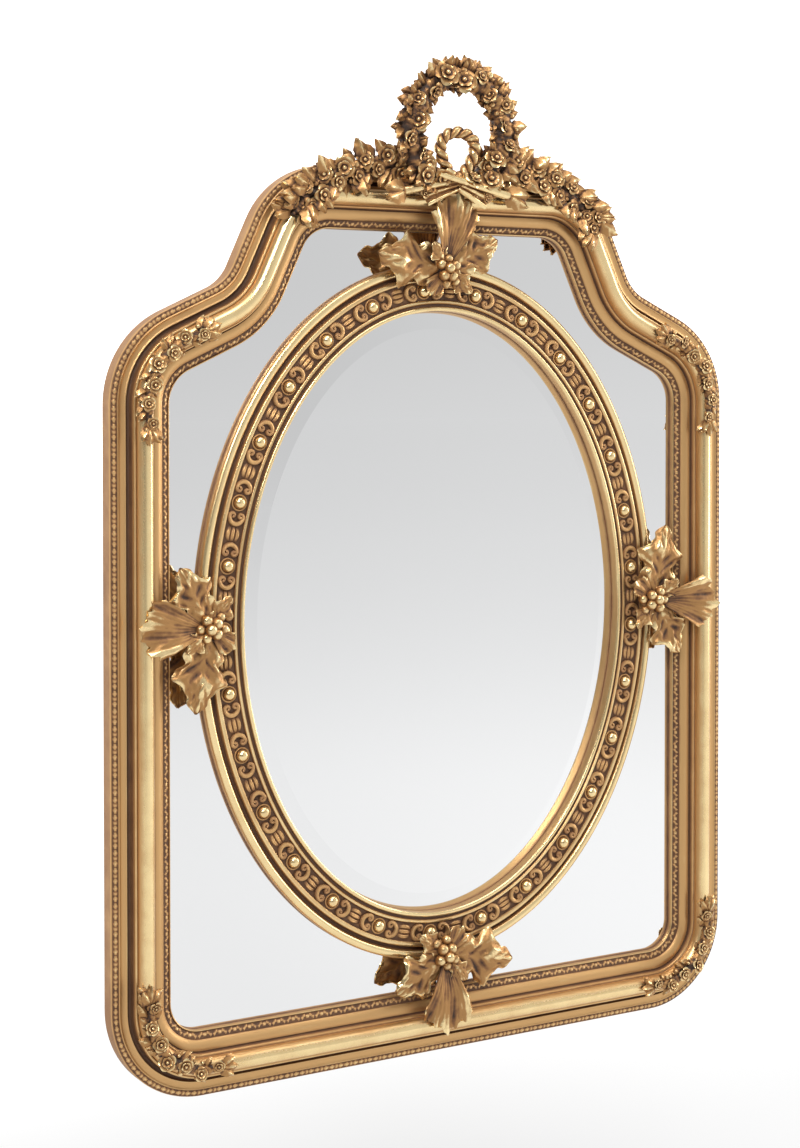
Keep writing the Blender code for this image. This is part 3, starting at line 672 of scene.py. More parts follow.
def gilding_group() -> bpy.types.NodeTree:
    """Shared effect of old gilding: burnished crowns with a painted highlight, brown glazing and
    painted shade in the hollows.

    Returns:
        A group that turns relief into colour, roughness, metallic and bump height.
    """
    colours = dict.fromkeys(("Crown", "Leaf", "Glaze", "Hollow"), "Color")
    numbers = dict.fromkeys(("Rub", "Polish", "Wear Scale", "Wear"), "Float")
    sheet = node_group("antique_gilding_with_painted_light", colours | numbers,
                       {"Color": "Color", "Roughness": "Float", "Metallic": "Float",
                        "Height": "Float"})
    ask, math, about = sheet.ask, sheet.math, sheet.about
    relief = sheet.add("Attribute", {"attribute_name": RELIEF}).outputs["Fac"]
    where = sheet.place()
    broad = sheet.grain(9.0, 3.0, 0.55, where)
    wear = sheet.grain(ask["Wear Scale"], 5.0, 0.62, where)
    fine = sheet.grain(420.0, 4.0, 0.6, where)

    level = math("ADD", relief, about(wear, ask["Wear"]))
    level = math("ADD", level, about(broad, 0.22))
    # Low relief turns to the glaze and hollow colours: glazing that old gilding holds in its
    # hollows, and painted shade.
    hollow = sheet.spread(level, (0.02, 0.30))
    glaze = sheet.spread(level, (0.22, 0.58))
    # High relief turns to the pale crown colour: burnished gold with a painted highlight.
    crown = sheet.spread(math("ADD", level, math("SUBTRACT", ask["Rub"], 0.5)), (0.70, 1.02))

    colour = sheet.mix(glaze, sheet.mix(hollow, ask["Hollow"], ask["Glaze"]), ask["Leaf"])
    rough = math("SUBTRACT", 0.62, math("MULTIPLY", glaze, 0.20))
    rough = math("SUBTRACT", rough, math("MULTIPLY", crown, ask["Polish"]))
    sheet.feed(sheet.give, Color=sheet.mix(crown, colour, ask["Crown"]),
               Roughness=math("ADD", rough, about(fine, 0.12)),
               Metallic=math("ADD", math("MULTIPLY", glaze, 0.55),
                             math("MULTIPLY", hollow, 0.35)),
               Height=math("ADD", math("MULTIPLY", wear, 0.6), math("MULTIPLY", fine, 0.4)))
    return sheet.tree


@dataclass(frozen=True)
class Gilding:
    """One way of gilding, as the colours and the polish that the shared group works with."""

    name: str
    crown: tuple[float, float, float]
    leaf: tuple[float, float, float]
    glaze: tuple[float, float, float]
    hollow: tuple[float, float, float]
    rub: float
    polish: float
    wear: float
    wear_scale: float
    bump: float

    def material(self, group: bpy.types.NodeTree) -> bpy.types.Material:
        """Make the material.

        Args:
            group: The shared gilding group.

        Returns:
            The material.
        """
        sheet = NodeSheet.surface(self.name)
        colours = {"Crown": self.crown, "Leaf": self.leaf, "Glaze": self.glaze,
                   "Hollow": self.hollow}
        effect = sheet.add("Group", {"node_tree": group}, Rub=self.rub, Polish=self.polish,
                           Wear_Scale=self.wear_scale, Wear=self.wear,
                           **{name: (*colour, 1.0) for name, colour in colours.items()}).outputs
        sheet.feed(sheet.shader, Base_Color=effect["Color"], Roughness=effect["Roughness"],
                   Metallic=effect["Metallic"])
        sheet.bump(effect["Height"], self.bump, 0.0006)
        return sheet.made


@dataclass(frozen=True)
class SilveredGlass:
    """Clear polished mirror glass."""

    name: str = "silvered_glass"
    colour: tuple[float, float, float] = (0.93, 0.935, 0.94)
    clouding: float = 0.985
    roughness: float = 0.015

    def material(self) -> bpy.types.Material:
        """Make the material, with the faintest clouding of a ground and silvered sheet.

        Returns:
            The material.
        """
        sheet = NodeSheet.surface(self.name)
        dimmer = [part * self.clouding for part in self.colour]
        tint = sheet.mix(sheet.grain(2.2, 2.0, 0.5, sheet.place()), (*self.colour, 1.0),
                         (*dimmer, 1.0))
        sheet.feed(sheet.shader, Base_Color=tint, Metallic=1.0, Roughness=self.roughness)
        return sheet.made


@dataclass(frozen=True)
class BareBoard:
    """Plain sawn board with its grain along the height."""

    name: str = "bare_board"
    light: tuple[float, float, float] = (0.42, 0.30, 0.19)
    dark: tuple[float, float, float] = (0.24, 0.16, 0.10)

    def material(self) -> bpy.types.Material:
        """Make the material.

        Returns:
            The material.
        """
        sheet = NodeSheet.surface(self.name)
        along = sheet.add("Mapping", Vector=sheet.place(), Scale=(38.0, 38.0, 2.5))
        grain = sheet.grain(3.0, 8.0, 0.65, along.outputs["Vector"])
        ramp = sheet.add("ValToRGB", Fac=grain)
        for stop, place, colour in zip(ramp.color_ramp.elements, (0.32, 0.66),
                                       (self.dark, self.light)):
            stop.position, stop.color = place, (*colour, 1.0)
        sheet.feed(sheet.shader, Base_Color=ramp.outputs["Color"], Roughness=0.82)
        sheet.bump(grain, 0.25, 0.001)
        return sheet.made


@dataclass
class Finishes:
    """The materials that the pieces share."""

    group: bpy.types.NodeTree = field(default_factory=gilding_group)

    def __post_init__(self) -> None:
        """Make each material once."""
        # The pale crown colour carries a painted highlight; the glaze and hollow colours carry
        # painted shade along with the glazing.
        crown = (1.0, 0.78, 0.41)
        burnished = Gilding("burnished_gilding", crown, leaf=(0.68, 0.410, 0.175),
                            glaze=(0.33, 0.160, 0.066), hollow=(0.100, 0.044, 0.018),
                            rub=0.46, polish=0.24, wear=0.26, wear_scale=30.0, bump=0.05)
        cast = Gilding("cast_gilding", crown, leaf=(0.46, 0.248, 0.096),
                       glaze=(0.22, 0.100, 0.040), hollow=(0.042, 0.018, 0.008),
                       rub=0.46, polish=0.30, wear=0.55, wear_scale=95.0, bump=0.30)
        self.burnished, self.cast = burnished.material(self.group), cast.material(self.group)
        self.glass = SilveredGlass().material()
        self.board = BareBoard().material()


# Small forms that the castings are made of


class Leaf(Enum):
    """The two kinds of large leaf in the castings."""

    VINE = "vine"
    SHELL = "shell"


@dataclass(frozen=True)
class Blade:
    """A large leaf, its base at the bench's origin and its tip up the bench.

    Attributes:
        kind: Which leaf it is.
        length: From base to tip.
        width: Its breadth as a share of its length.
        arch: How far its middle rises off the bench.
        drop: How far its tip falls again.
        phase: What sets its buckling apart from the others'.
        columns: Cells across it.
        rows: Cells along it.
        wall: Its thickness.
    """

    kind: Leaf
    length: float
    width: float = 0.62
    arch: float = 0.010
    drop: float = 0.003
    phase: float = 0.0
    columns: int = 40
    rows: int = 40
    wall: float = 0.0018

    def swell(self, a: float, away: float) -> float:
        """How the blade buckles at a point, from about -1 to 1."""
        broad = noise.noise(Vector((a * 1.9, away * 2.8, self.phase * 3.7)))
        return broad + 0.45 * noise.noise(Vector((a * 4.5, away * 6.5, self.phase * 5.1)))

    def vine(self, a: float, b: float) -> tuple[Vector, float]:
        """Place one point of a vine leaf with a midrib and side veins.

        Args:
            a: Across the blade, from -1 to 1.
            b: Along the blade, from -1 to 1.

        Returns:
            The point and its relief.
        """
        away = 0.02 + 0.98 * (b + 1) / 2
        side = abs(a)
        body = sin(pi * min(away ** 0.85, 1.0)) ** 0.72 if away < 1 else 0.0
        lobes = 1 + 0.24 * cos(2 * pi * (2.4 * away - 0.35)) + 0.06 * sin(away * 40 + self.phase)
        half = self.length * self.width / 2 * body * lobes
        vein = abs(sin(pi * (away * 6.0 - side * 1.6)))
        rib = exp(-((a / 0.10) ** 2))
        edge = sin(away * 15.0 + self.phase + (1.3 if a > 0 else 0.0))
        swell = self.swell(a, away)
        rise = self.arch * sin(pi * 0.66 * away) - self.drop * away ** 2.6
        rise += self.length * (0.014 * vein * (1 - side ** 4) * (1 - rib) + 0.012 * rib
                               + 0.045 * edge * side ** 3 * body + 0.055 * swell * body
                               - 0.050 * side ** 2 * body)
        along = self.length * (away + 0.15 * side ** 1.5 * body * (0.9 - away))
        # Rims and swells are marked high so that they take the pale crown colour: a painted
        # highlight.
        level = 0.34 + 0.36 * vein + 0.50 * side ** 6 + 0.24 * rib + 0.45 * swell
        return Vector((a * half, along, rise)), level + 0.22 * edge * side ** 2

    def shell(self, a: float, b: float) -> tuple[Vector, float]:
        """Place one point of a fan-veined leaf with a frilled edge.

        Args:
            a: Across the blade, from -1 to 1.
            b: Along the blade, from -1 to 1.

        Returns:
            The point and its relief.
        """
        away = 0.03 + 0.97 * (b + 1) / 2
        reach = 0.80 + 0.20 * exp(-((a / 0.5) ** 2)) + 0.07 * exp(-(((abs(a) - 0.66) / 0.2) ** 2))
        frill = 0.028 * sin(a * 17.0 + self.phase) + 0.014 * sin(a * 41.0 + 2 * self.phase)
        fine = cos(a * 34.0 + 1.6 * sin(away * 4.0 + self.phase))
        wave = sin(a * 6.5 + self.phase) + 0.45 * sin(a * 14.0 + 2 * self.phase)
        swell = self.swell(a, away)
        span = self.length * (reach + frill * away ** 3) * away
        angle = a * atan2(self.width / 2, 0.80) * (1.0 - 0.10 * away)
        rise = self.arch * sin(pi * 0.66 * away) - self.drop * away ** 2.6
        rise += self.length * (0.034 * wave * away ** 3 + 0.045 * swell * away
                               + 0.0036 * fine * away + 0.028 * away ** 9)
        # The frilled rim is marked high so that it takes the pale crown colour: a painted
        # highlight.
        level = 0.36 + 0.10 * fine + 0.55 * away ** 6 + 0.30 * wave * away ** 2 + 0.35 * swell
        return Vector((span * sin(angle), span * cos(angle), rise)), level

    def make(self) -> bpy.types.Object:
        """Make the leaf."""
        shaper = self.vine if self.kind is Leaf.VINE else self.shell
        return thicken(patch(self.columns, self.rows, shaper), self.wall)


def roughen(piece: bpy.types.Object, depth: float, grain: float) -> bpy.types.Object:
    """Break a plain core up into small lumps, and mark their relief.

    Args:
        piece: The core.
        depth: How far the lumps rise and fall.
        grain: How large they are.

    Returns:
        The same piece.
    """
    levels = []
    for vertex, normal in [(v, v.normal.copy()) for v in piece.data.vertices]:
        lump = noise.noise(vertex.co / grain) + 0.5 * noise.noise(vertex.co / grain * 2.3)
        vertex.co += normal * depth * lump
        levels.append(0.42 + 0.55 * lump)
    mark(piece, levels)
    return piece


def leaflet(length: float, width: float, arch: float, columns: int = 4,
            rows: int = 7) -> bpy.types.Object:
    """A small pointed leaf with a midrib, its base at the origin and its tip up the bench.

    Args:
        length: Its length.
        width: Half its width.
        arch: How far it arches up.
        columns: Cells across it.
        rows: Cells along it.

    Returns:
        The leaf.
    """
    def shape(a: float, b: float) -> tuple[Vector, float]:
        """Place one point of the blade."""
        away = (b + 1) / 2
        half = width * sin(pi * min(away ** 0.72, 1.0)) ** 0.75 if 0 < away < 1 else 0.0
        half *= 1.0 + 0.10 * sin(away * 26.0)
        rib = exp(-((a / 0.22) ** 2))
        veins = cos(abs(a) * 7.0 - away * 17.0)
        rise = arch * sin(pi * 0.7 * away) + width * (0.16 * rib - 0.30 * abs(a) ** 1.5)
        rise += width * 0.05 * veins * abs(a)
        level = 0.56 + 0.30 * rib + 0.16 * veins * abs(a) + 0.25 * away ** 3
        return Vector((a * half, length * away, rise)), level

    return thicken(patch(columns, rows, shape), width * 0.14)


def rose(radius: float, petals: int = 5) -> bpy.types.Object:
    """An open rose with two rounds of cupped petals and a heart, facing up from the bench.

    Args:
        radius: The reach of its outer petals.
        petals: How many each round has.

    Returns:
        The rose.
    """
    def petal(size: float, lift: float, cup: float) -> bpy.types.Object:
        """One petal that reaches from the middle along the bench's x.

        Args:
            size: Its reach.
            lift: The height of its root.
            cup: How far it rises for its reach.

        Returns:
            The petal.
        """
        def shape(a: float, b: float) -> tuple[Vector, float]:
            """Place one point of the petal."""
            away = (b + 1) / 2
            half = size * 0.62 * sqrt(max(away, 0.0)) * (1.0 - 0.30 * away ** 6)
            reach = size * (0.12 + 0.88 * away) * (1.0 - 0.16 * a * a * away)
            rise = lift + size * (cup * away ** 1.7 - 0.30 * max(away - 0.72, 0.0) * 3.0)
            rise += size * 0.16 * a * a * away
            return Vector((reach, a * half, rise)), 0.12 + 0.95 * away ** 1.3

        return thicken(patch(5, 5, shape), size * 0.10)

    parts = []
    for size, lift, cup, turn in ((radius, 0.0, 0.26, 0.0),
                                  (radius * 0.62, radius * 0.16, 0.52, pi / petals)):
        pattern = petal(size, lift, cup)
        for index in range(petals):
            parts.append(copy_of(pattern, turn_and_move(0, 0, 0, turn + 2 * pi * index / petals)))
        discard(pattern)
    heart = primitive("ico_sphere", subdivisions=2, radius=radius * 0.22)
    heart.data.transform(Matrix.Translation((0, 0, radius * 0.30)))
    mark_by_height(heart, 0.3, 1.0)
    root = primitive("cone", vertices=10, radius1=radius * 0.30, radius2=radius * 0.62,
                     depth=radius * 0.55, end_fill_type="TRIFAN")
    root.data.transform(Matrix.Translation((0, 0, -radius * 0.24)))
    mark_by_height(root, 0.0, 0.2)
    return join("rose", parts + [heart, root])


def berry(radius: float) -> bpy.types.Object:
    """A round berry with a dimple at its crown.

    Args:
        radius: Its radius.

    Returns:
        The berry.
    """
    made = primitive("uv_sphere", segments=16, ring_count=10, radius=radius)
    levels = []
    for vertex in made.data.vertices:
        up = vertex.co.z / radius
        if up > 0.96:
            vertex.co.z *= 0.93
        levels.append(0.35 + 0.55 * (up + 1) / 2)
    mark(made, levels)
    return made


def scroll(reach: float, thick: float) -> bpy.types.Object:
    """A C-shaped scroll with curled ends, open towards the bench's +x.

    Args:
        reach: Radius of its back.
        thick: Half the width of its ridge.

    Returns:
        The scroll.
    """
    half, step = [], reach * 0.085
    spot, heading, walked = Vector((0.0, 0.0)), pi / 2, 0.0
    while heading > -pi * 1.75:
        half.append(spot.copy())
        bend = 1 / reach if heading > radians(8) else 1 / max(reach * 0.46 - walked * 0.24, 0.0016)
        if heading <= radians(8):
            walked += step
        heading -= step * bend
        spot += step * Vector((cos(heading), sin(heading)))
    outline = [Vector((point.x, -point.y)) for point in half[:0:-1]] + half
    count = len(outline) - 1
    points, radii = [], []
    for index, point in enumerate(outline):
        end = abs(2 * index / count - 1)
        points.append(Vector((point.x, point.y, thick * 0.35)))
        radii.append(thick * (1.0 - 0.38 * end ** 2 + 0.30 * max(end - 0.90, 0.0) / 0.10))
    made = wire(points, radii, resolution=2)
    mark_by_height(made, 0.0, 0.80)
    return made


# Sub-assemblies


@dataclass
class OuterFrame:
    """The shouldered outer moulding with its two runs of small ornament.

    Attributes:
        rail: Breadth of the moulding.
        rebate: How far the glass reaches under its sight edge.
        ledge: Height of the rebate's floor over the wall.
        shoulder_drop: How far below the top rail's middle the shoulder's arc is centred.
        shoulder_slope: The slope of the shoulder.
        neck_slope: The slope of the neck over it.
        edge_place: Where the outer run's middle lies, inward from the outer edge.
        sight_place: Where the inner run's middle lies.
        turn: The angle between two stations on an arc.
    """

    width: float = 1.000
    height: float = 1.246
    rail: float = 0.0865
    rebate: float = 0.0065
    ledge: float = 0.0094
    bottom_radius: float = 0.042
    shoulder_radius: float = 0.050
    shoulder_drop: float = 0.283
    shoulder_slope: float = radians(25.0)
    sweep_radius: float = 0.0635
    neck_slope: float = radians(65.5)
    top_radius: float = 0.045
    top_flat: float = 0.349
    torus_middle: float = 0.0435
    torus_radius: float = 0.0115
    torus_front: float = 0.0490
    edge_pitch: float = 0.0230
    edge_place: float = 0.0055
    edge_height: float = 0.0252
    edge_lean: float = -0.09
    sight_pitch: float = 0.0220
    sight_place: float = 0.0799
    sight_height: float = 0.0190
    sight_lean: float = 0.49
    turn: float = radians(3.0)

    def __post_init__(self) -> None:
        """Work out where the sight edge lies."""
        self.half = self.width / 2 - self.rail
        self.top = -self.rail / 2
        self.bottom = self.rail / 2 - self.height + self.rail

    def arc(self, centre: Vector, radius: float, start: float, turn: float,
            side: int = 1) -> list[Station]:
        """Stations along an arc of the sight edge.

        Args:
            centre: The arc's centre.
            radius: Its radius.
            start: The angle of its first outward normal.
            turn: How far the normal turns.
            side: 1 where the arc bulges outward and -1 where it is hollow.

        Returns:
            The stations.
        """
        steps = ceil(abs(turn) / self.turn)
        stations = []
        for step in range(steps + 1):
            out = Vector((cos(start + turn * step / steps), sin(start + turn * step / steps)))
            stations.append((centre + side * radius * out, out))
        return stations

    def quarters(self) -> list[list[Station]]:
        """Find the right half's four arcs.

        Returns:
            The bottom corner, the shoulder, the hollow sweep and the top corner.
        """
        slope, neck = pi / 2 - self.shoulder_slope, pi / 2 - self.neck_slope
        low = self.arc(Vector((self.half - self.bottom_radius, self.bottom + self.bottom_radius)),
                       self.bottom_radius, -pi / 2, pi / 2)
        shoulder = self.arc(Vector((self.half - self.shoulder_radius, -self.shoulder_drop)),
                            self.shoulder_radius, 0.0, slope)
        top = self.arc(Vector((self.top_flat / 2, self.top - self.top_radius)),
                       self.top_radius, neck, pi / 2 - neck)
        start, end = shoulder[-1][0], top[0][0]
        slope_way = Vector((-cos(self.shoulder_slope), sin(self.shoulder_slope)))
        neck_way = Vector((-cos(self.neck_slope), sin(self.neck_slope)))
        across = end - start
        run = ((across.x * neck_way.y - across.y * neck_way.x)
               / (slope_way.x * neck_way.y - slope_way.y * neck_way.x))
        radius = self.sweep_radius + self.rail
        first = start + slope_way * (run - radius * tan((slope - neck) / 2))
        centre = first + radius * Vector((cos(slope), sin(slope)))
        return [low, shoulder, self.arc(centre, radius, slope, neck - slope, side=-1), top]

    def stations(self) -> list[Station]:
        """Go round the whole sight edge, counter-clockwise from the bottom.

        Returns:
            The stations.
        """
        right = [station for quarter in self.quarters() for station in quarter]
        left = [(Vector((-point.x, point.y)), Vector((-out.x, out.y))) for point, out in right]
        return right + left[::-1]

    def profile(self) -> Profile:
        """Draw the moulding's section from its back outer edge to its rebate.

        Returns:
            The section.
        """
        middle, base = self.torus_middle, self.torus_front - self.torus_radius
        foot = middle + self.torus_radius
        made = Profile()
        made.to(0.0, 0.0, 0.3).to(0.0, 0.0205, 0.35).to(0.0003, 0.0232, 0.6).to(0.0012, 0.0244, 0.3)
        made.to(0.0018, 0.0246, 0.08).to(0.0055, 0.0252, 0.08).to(0.0092, 0.0254, 0.08)
        made.to(0.0098, 0.0268, 0.6).to(0.0106, 0.0275, 0.85)
        made.round(0.0158, 0.0273, 0.0044, -0.0010, 0.0, 180.0, 6, 0.78, 0.58)
        made.to(0.0210, 0.0274, 0.85).to(0.0215, 0.0264, 0.35)
        made.round(0.0246, 0.0250, 0.0028, -0.0022, 0.0, 180.0, 6, 0.15, 0.0)
        made.to(0.0277, 0.0300, 0.12).to(0.0279, 0.0352, 0.45).to(0.0284, 0.0370, 0.85)
        made.to(0.0298, 0.0378, 0.85).to(0.0310, 0.0376, 0.7).to(0.0316, 0.0366, 0.15)
        made.round(middle, base, self.torus_radius, self.torus_radius, 4.0, 192.0, 26, 0.55, 1.0)
        made.to(foot + 0.0002, 0.0342, 0.1).to(foot + 0.0010, 0.0334, 0.5)
        made.to(foot + 0.0018, 0.0340, 0.85).to(foot + 0.0028, 0.0336, 0.8)
        made.to(foot + 0.0035, 0.0320, 0.35).to(foot + 0.0040, 0.0288, 0.08)
        made.to(foot + 0.0045, 0.0262, 0.0).to(foot + 0.0054, 0.0258, 0.0)
        for step in range(9):
            share = step / 8
            made.to(foot + 0.0060 + 0.0134 * share,
                    0.0268 - 0.0046 * share + 0.0018 * sin(pi * share),
                    0.42 + 0.34 * sin(pi * share))
        made.to(0.0750, 0.0208, 0.05).to(0.0757, 0.0210, 0.08)
        made.to(0.0800, 0.0190, 0.08).to(0.0841, 0.0169, 0.08)
        made.to(0.0846, 0.0180, 0.6).to(0.0852, 0.0185, 0.9).to(0.0860, 0.0180, 0.85)
        made.to(self.rail, 0.0164, 0.6).to(self.rail, 0.0120, 0.25).to(self.rail, self.ledge, 0.1)
        made.to(self.rail - self.rebate, self.ledge, 0.1).to(self.rail - self.rebate, 0.0, 0.1)
        return made

    def edge_motif(self, pitch: float) -> bpy.types.Object:
        """One rosette between two leaves, for the run along the outer edge.

        Args:
            pitch: Its length.

        Returns:
            The motif.
        """
        def shape(a: float, b: float) -> tuple[Vector, float]:
            """Place one point, in millimetres first."""
            along, aside = a * pitch * 500.0, b * 3.7
            away = hypot(along, aside)
            lobes = 0.70 + 0.40 * cos(5 * atan2(aside, along))
            rise = (lobes * max(1.0 - (away / 3.6) ** 2, 0.0)
                    + 0.8 * max(1.0 - (away / 1.3) ** 2, 0.0))
            for side in (-1, 1):
                offset = along - side * 7.2
                half = 2.5 - 0.105 * side * offset
                body = 1.0 - (offset / 3.9) ** 2 - (aside / half) ** 2
                if body > 0:
                    rise = max(rise, 1.25 * sqrt(body) - 0.42 * exp(-((aside / 0.45) ** 2)))
            rise *= 1.0 - abs(b) ** 8
            return Vector((along, aside, rise)) / 1000, 0.06 + 0.72 * rise

        return patch(16, 5, shape)

    def sight_motif(self, pitch: float) -> bpy.types.Object:
        """One bud and a pair of curled leaves, for the run along the sight edge.

        Args:
            pitch: Its length.

        Returns:
            The motif.
        """
        def shape(a: float, b: float) -> tuple[Vector, float]:
            """Place one point, in millimetres first."""
            along, aside = a * pitch * 500.0, b * 4.1
            rise = 1.5 * sqrt(max(1.0 - (along / 2.7) ** 2 - (aside / 2.4) ** 2, 0.0))
            for side in (-1, 1):
                offset = side * along - 6.4
                bend = aside - 1.6 * sin(offset * 0.75)
                body = 1.0 - (offset / 4.3) ** 2 - (bend / 1.55) ** 2
                if body > 0:
                    rise = max(rise, 1.3 * sqrt(body) - 0.35 * exp(-((bend / 0.4) ** 2)))
            rise *= 1.0 - abs(b) ** 8
            return Vector((along, aside, rise)) / 1000, 0.06 + 0.62 * rise

        return patch(16, 5, shape)

    def build(self, finishes: Finishes) -> bpy.types.Object:
        """Make the frame and gild it.

        Args:
            finishes: The shared materials.

        Returns:
            The finished piece.
        """
        stations = self.stations()
        parts = [self.profile().sweep("outer_moulding", stations, self.rail)]
        for motif, pitch, inward, height, lean in (
                (self.edge_motif, self.edge_pitch, self.edge_place, self.edge_height,
                 self.edge_lean),
                (self.sight_motif, self.sight_pitch, self.sight_place, self.sight_height,
                 self.sight_lean)):
            line = Line(stations, self.rail - inward)
            count = round(line.length / pitch)
            pattern = motif(line.length / count)
            parts += line.lay(pattern, count, self.rail - inward, height, lean)
            discard(pattern)
        return finish_piece(join("outer_frame", parts), "outer_moulding",
                            finishes.burnished, ["outer_frame"])


@dataclass
class OvalFrame:
    """The oval moulding with a carved band of beads, scrolls and small leaves.

    Attributes:
        rail: Breadth of the moulding.
        lip: How far it reaches over the oval glass.
        outer_lip: How far it reaches over the margin glasses.
        centre: Height of the oval's middle.
        glass_back: How far in front of the wall the oval glass's back lies.
        scroll_place: How far from a bead the scrolls beside it are.
    """

    width: float = 0.749
    height: float = 0.986
    rail: float = 0.0670
    lip: float = 0.0060
    outer_lip: float = 0.0130
    centre: float = -0.5795
    glass_back: float = 0.0051
    ledge: float = 0.0085
    margin_ledge: float = 0.0094
    band_start: float = 0.0260
    band_end: float = 0.0510
    band_floor: float = 0.0190
    bead_radius: float = 0.0079
    beads: int = 29
    scroll_reach: float = 0.0106
    scroll_thick: float = 0.0033
    scroll_place: float = 0.0292
    steps: int = 232

    def stations(self, steps: int) -> list[Station]:
        """Go round the outer edge at equal steps along the rail's middle line.

        Args:
            steps: How many.

        Returns:
            The stations.
        """
        across, up, fine = (self.width - self.rail) / 2, (self.height - self.rail) / 2, 2400
        walked = [0.0]
        for step in range(fine):
            here, there = 2 * pi * step / fine, 2 * pi * (step + 1) / fine
            walked.append(walked[-1] + hypot(across * (cos(there) - cos(here)),
                                             up * (sin(there) - sin(here))))
        stations, reached = [], 0
        for step in range(steps):
            wanted = walked[-1] * (step + 0.5) / steps
            while walked[reached + 1] < wanted:
                reached += 1
            share = (wanted - walked[reached]) / (walked[reached + 1] - walked[reached])
            angle = 2 * pi * (reached + share) / fine
            out = Vector((cos(angle) / across, sin(angle) / up)).normalized()
            middle = Vector((across * cos(angle), self.centre + up * sin(angle)))
            stations.append((middle + out * self.rail / 2, out))
        return stations

    def profile(self) -> Profile:
        """Draw the moulding's section from its outer foot over the front to its inner ledge.

        Returns:
            The section.
        """
        made = Profile()
        made.to(0.0, self.margin_ledge, 0.1).to(0.0, 0.0130, 0.2)
        made.round(0.0065, 0.0165, 0.0065, 0.0056, 0.0, 180.0, 14, 0.40, 1.0)
        made.round(0.0156, 0.0170, 0.0024, -0.0024, 10.0, 170.0, 6, 0.20, 0.03)
        made.to(0.0183, 0.0196, 0.30).to(0.0188, 0.0216, 0.65).to(0.0197, 0.0225, 0.85)
        made.to(0.0216, 0.0228, 0.78).to(0.0236, 0.0227, 0.80).to(0.0247, 0.0220, 0.65)
        made.to(0.0252, 0.0204, 0.08).to(self.band_start, self.band_floor, 0.03)
        for step in range(1, 6):
            share = step / 6
            made.to(self.band_start + (self.band_end - self.band_start) * share,
                    self.band_floor - 0.0004 * sin(pi * share), 0.08)
        made.to(self.band_end, self.band_floor, 0.03).to(0.0518, 0.0204, 0.08)
        made.to(0.0523, 0.0220, 0.70).to(0.0533, 0.0227, 0.88).to(0.0556, 0.0227, 0.82)
        made.to(0.0566, 0.0218, 0.45)
        made.round(0.0588, 0.0212, 0.0018, -0.0014, 0.0, 180.0, 4, 0.12, 0.02)
        made.to(0.0611, 0.0230, 0.60)
        made.round(0.0640, 0.0225, 0.0030, 0.0025, 20.0, 180.0, 8, 0.75, 1.0)
        made.to(self.rail, 0.0200, 0.70).to(self.rail, 0.0140, 0.45).to(self.rail, self.ledge, 0.15)
        made.to(self.rail - self.lip, self.ledge, 0.1)
        made.to(self.rail - self.lip, self.glass_back, 0.1)
        made.to(self.outer_lip, self.glass_back, 0.1)
        made.to(self.outer_lip, self.margin_ledge, 0.1)
        return made

    def bead(self) -> bpy.types.Object:
        """Model a domed bead in its ring.

        Returns:
            The bead.
        """
        dome = primitive("uv_sphere", segments=24, ring_count=14, radius=self.bead_radius * 1.04)
        dome.data.transform(Matrix.Diagonal((1.0, 1.0, 0.92, 1.0)))
        dome.data.transform(Matrix.Translation((0, 0, 0.0016)))
        mark_by_height(dome, 0.55, 1.25)
        ring = primitive("torus", major_segments=28, minor_segments=8,
                         major_radius=self.bead_radius * 1.30, minor_radius=0.0014)
        mark_by_height(ring, 0.0, 0.85)
        return join("bead", [dome, ring])

    def leaf_knot(self) -> bpy.types.Object:
        """Model the small double leaf of three ribs that lies between two pairs of scrolls.

        Returns:
            The motif.
        """
        def shape(a: float, b: float) -> tuple[Vector, float]:
            """Place one point, in millimetres first."""
            along, aside = a * 12.6, b * 11.8
            rise = 0.9 * sqrt(max(1.0 - (along / 2.6) ** 2 - (aside / 9.6) ** 2, 0.0))
            for middle, long, bend in ((-7.1, 11.0, -1.5), (0.0, 11.8, 0.0), (7.1, 11.0, 1.5)):
                centre = middle - bend * (along / 9.6) ** 2 * 1.3
                body = 1.0 - (along / long) ** 2 - ((aside - centre) / 3.1) ** 2
                if body > 0:
                    ridge = exp(-(((aside - centre) / 0.55) ** 2))
                    rise = max(rise, 3.1 * sqrt(body) - 0.7 * ridge)
            return Vector((along / 1000, aside / 1000, rise / 1000 - 0.0003)), 0.05 + 0.30 * rise

        return patch(20, 30, shape)

    def build(self, finishes: Finishes) -> bpy.types.Object:
        """Make the frame and gild it.

        Args:
            finishes: The shared materials.

        Returns:
            The finished piece.
        """
        parts = [self.profile().sweep("oval_moulding", self.stations(self.steps), 0.0)]
        middle = (self.band_start + self.band_end) / 2
        line = Line(self.stations(self.steps), -middle)
        bead, knot = self.bead(), self.leaf_knot()
        curl = scroll(self.scroll_reach, self.scroll_thick)
        curls = [copy_of(curl, turn_and_move(side * self.scroll_place, 0.0, 0.0002, turn))
                 for side, turn in ((-1, 0.0), (1, pi))]
        for pattern, start in ((bead, 0.5), (knot, 1.0), (curls[0], 0.5), (curls[1], 0.5)):
            parts += line.lay(pattern, self.beads, -middle, self.band_floor, start=start)
        discard(bead, knot, curl, *curls)
        return finish_piece(glaze_and_shade_hollows(join("oval_frame", parts), 0.006, 0.45, 6),
                            "oval_moulding", finishes.burnished, ["oval_frame"])


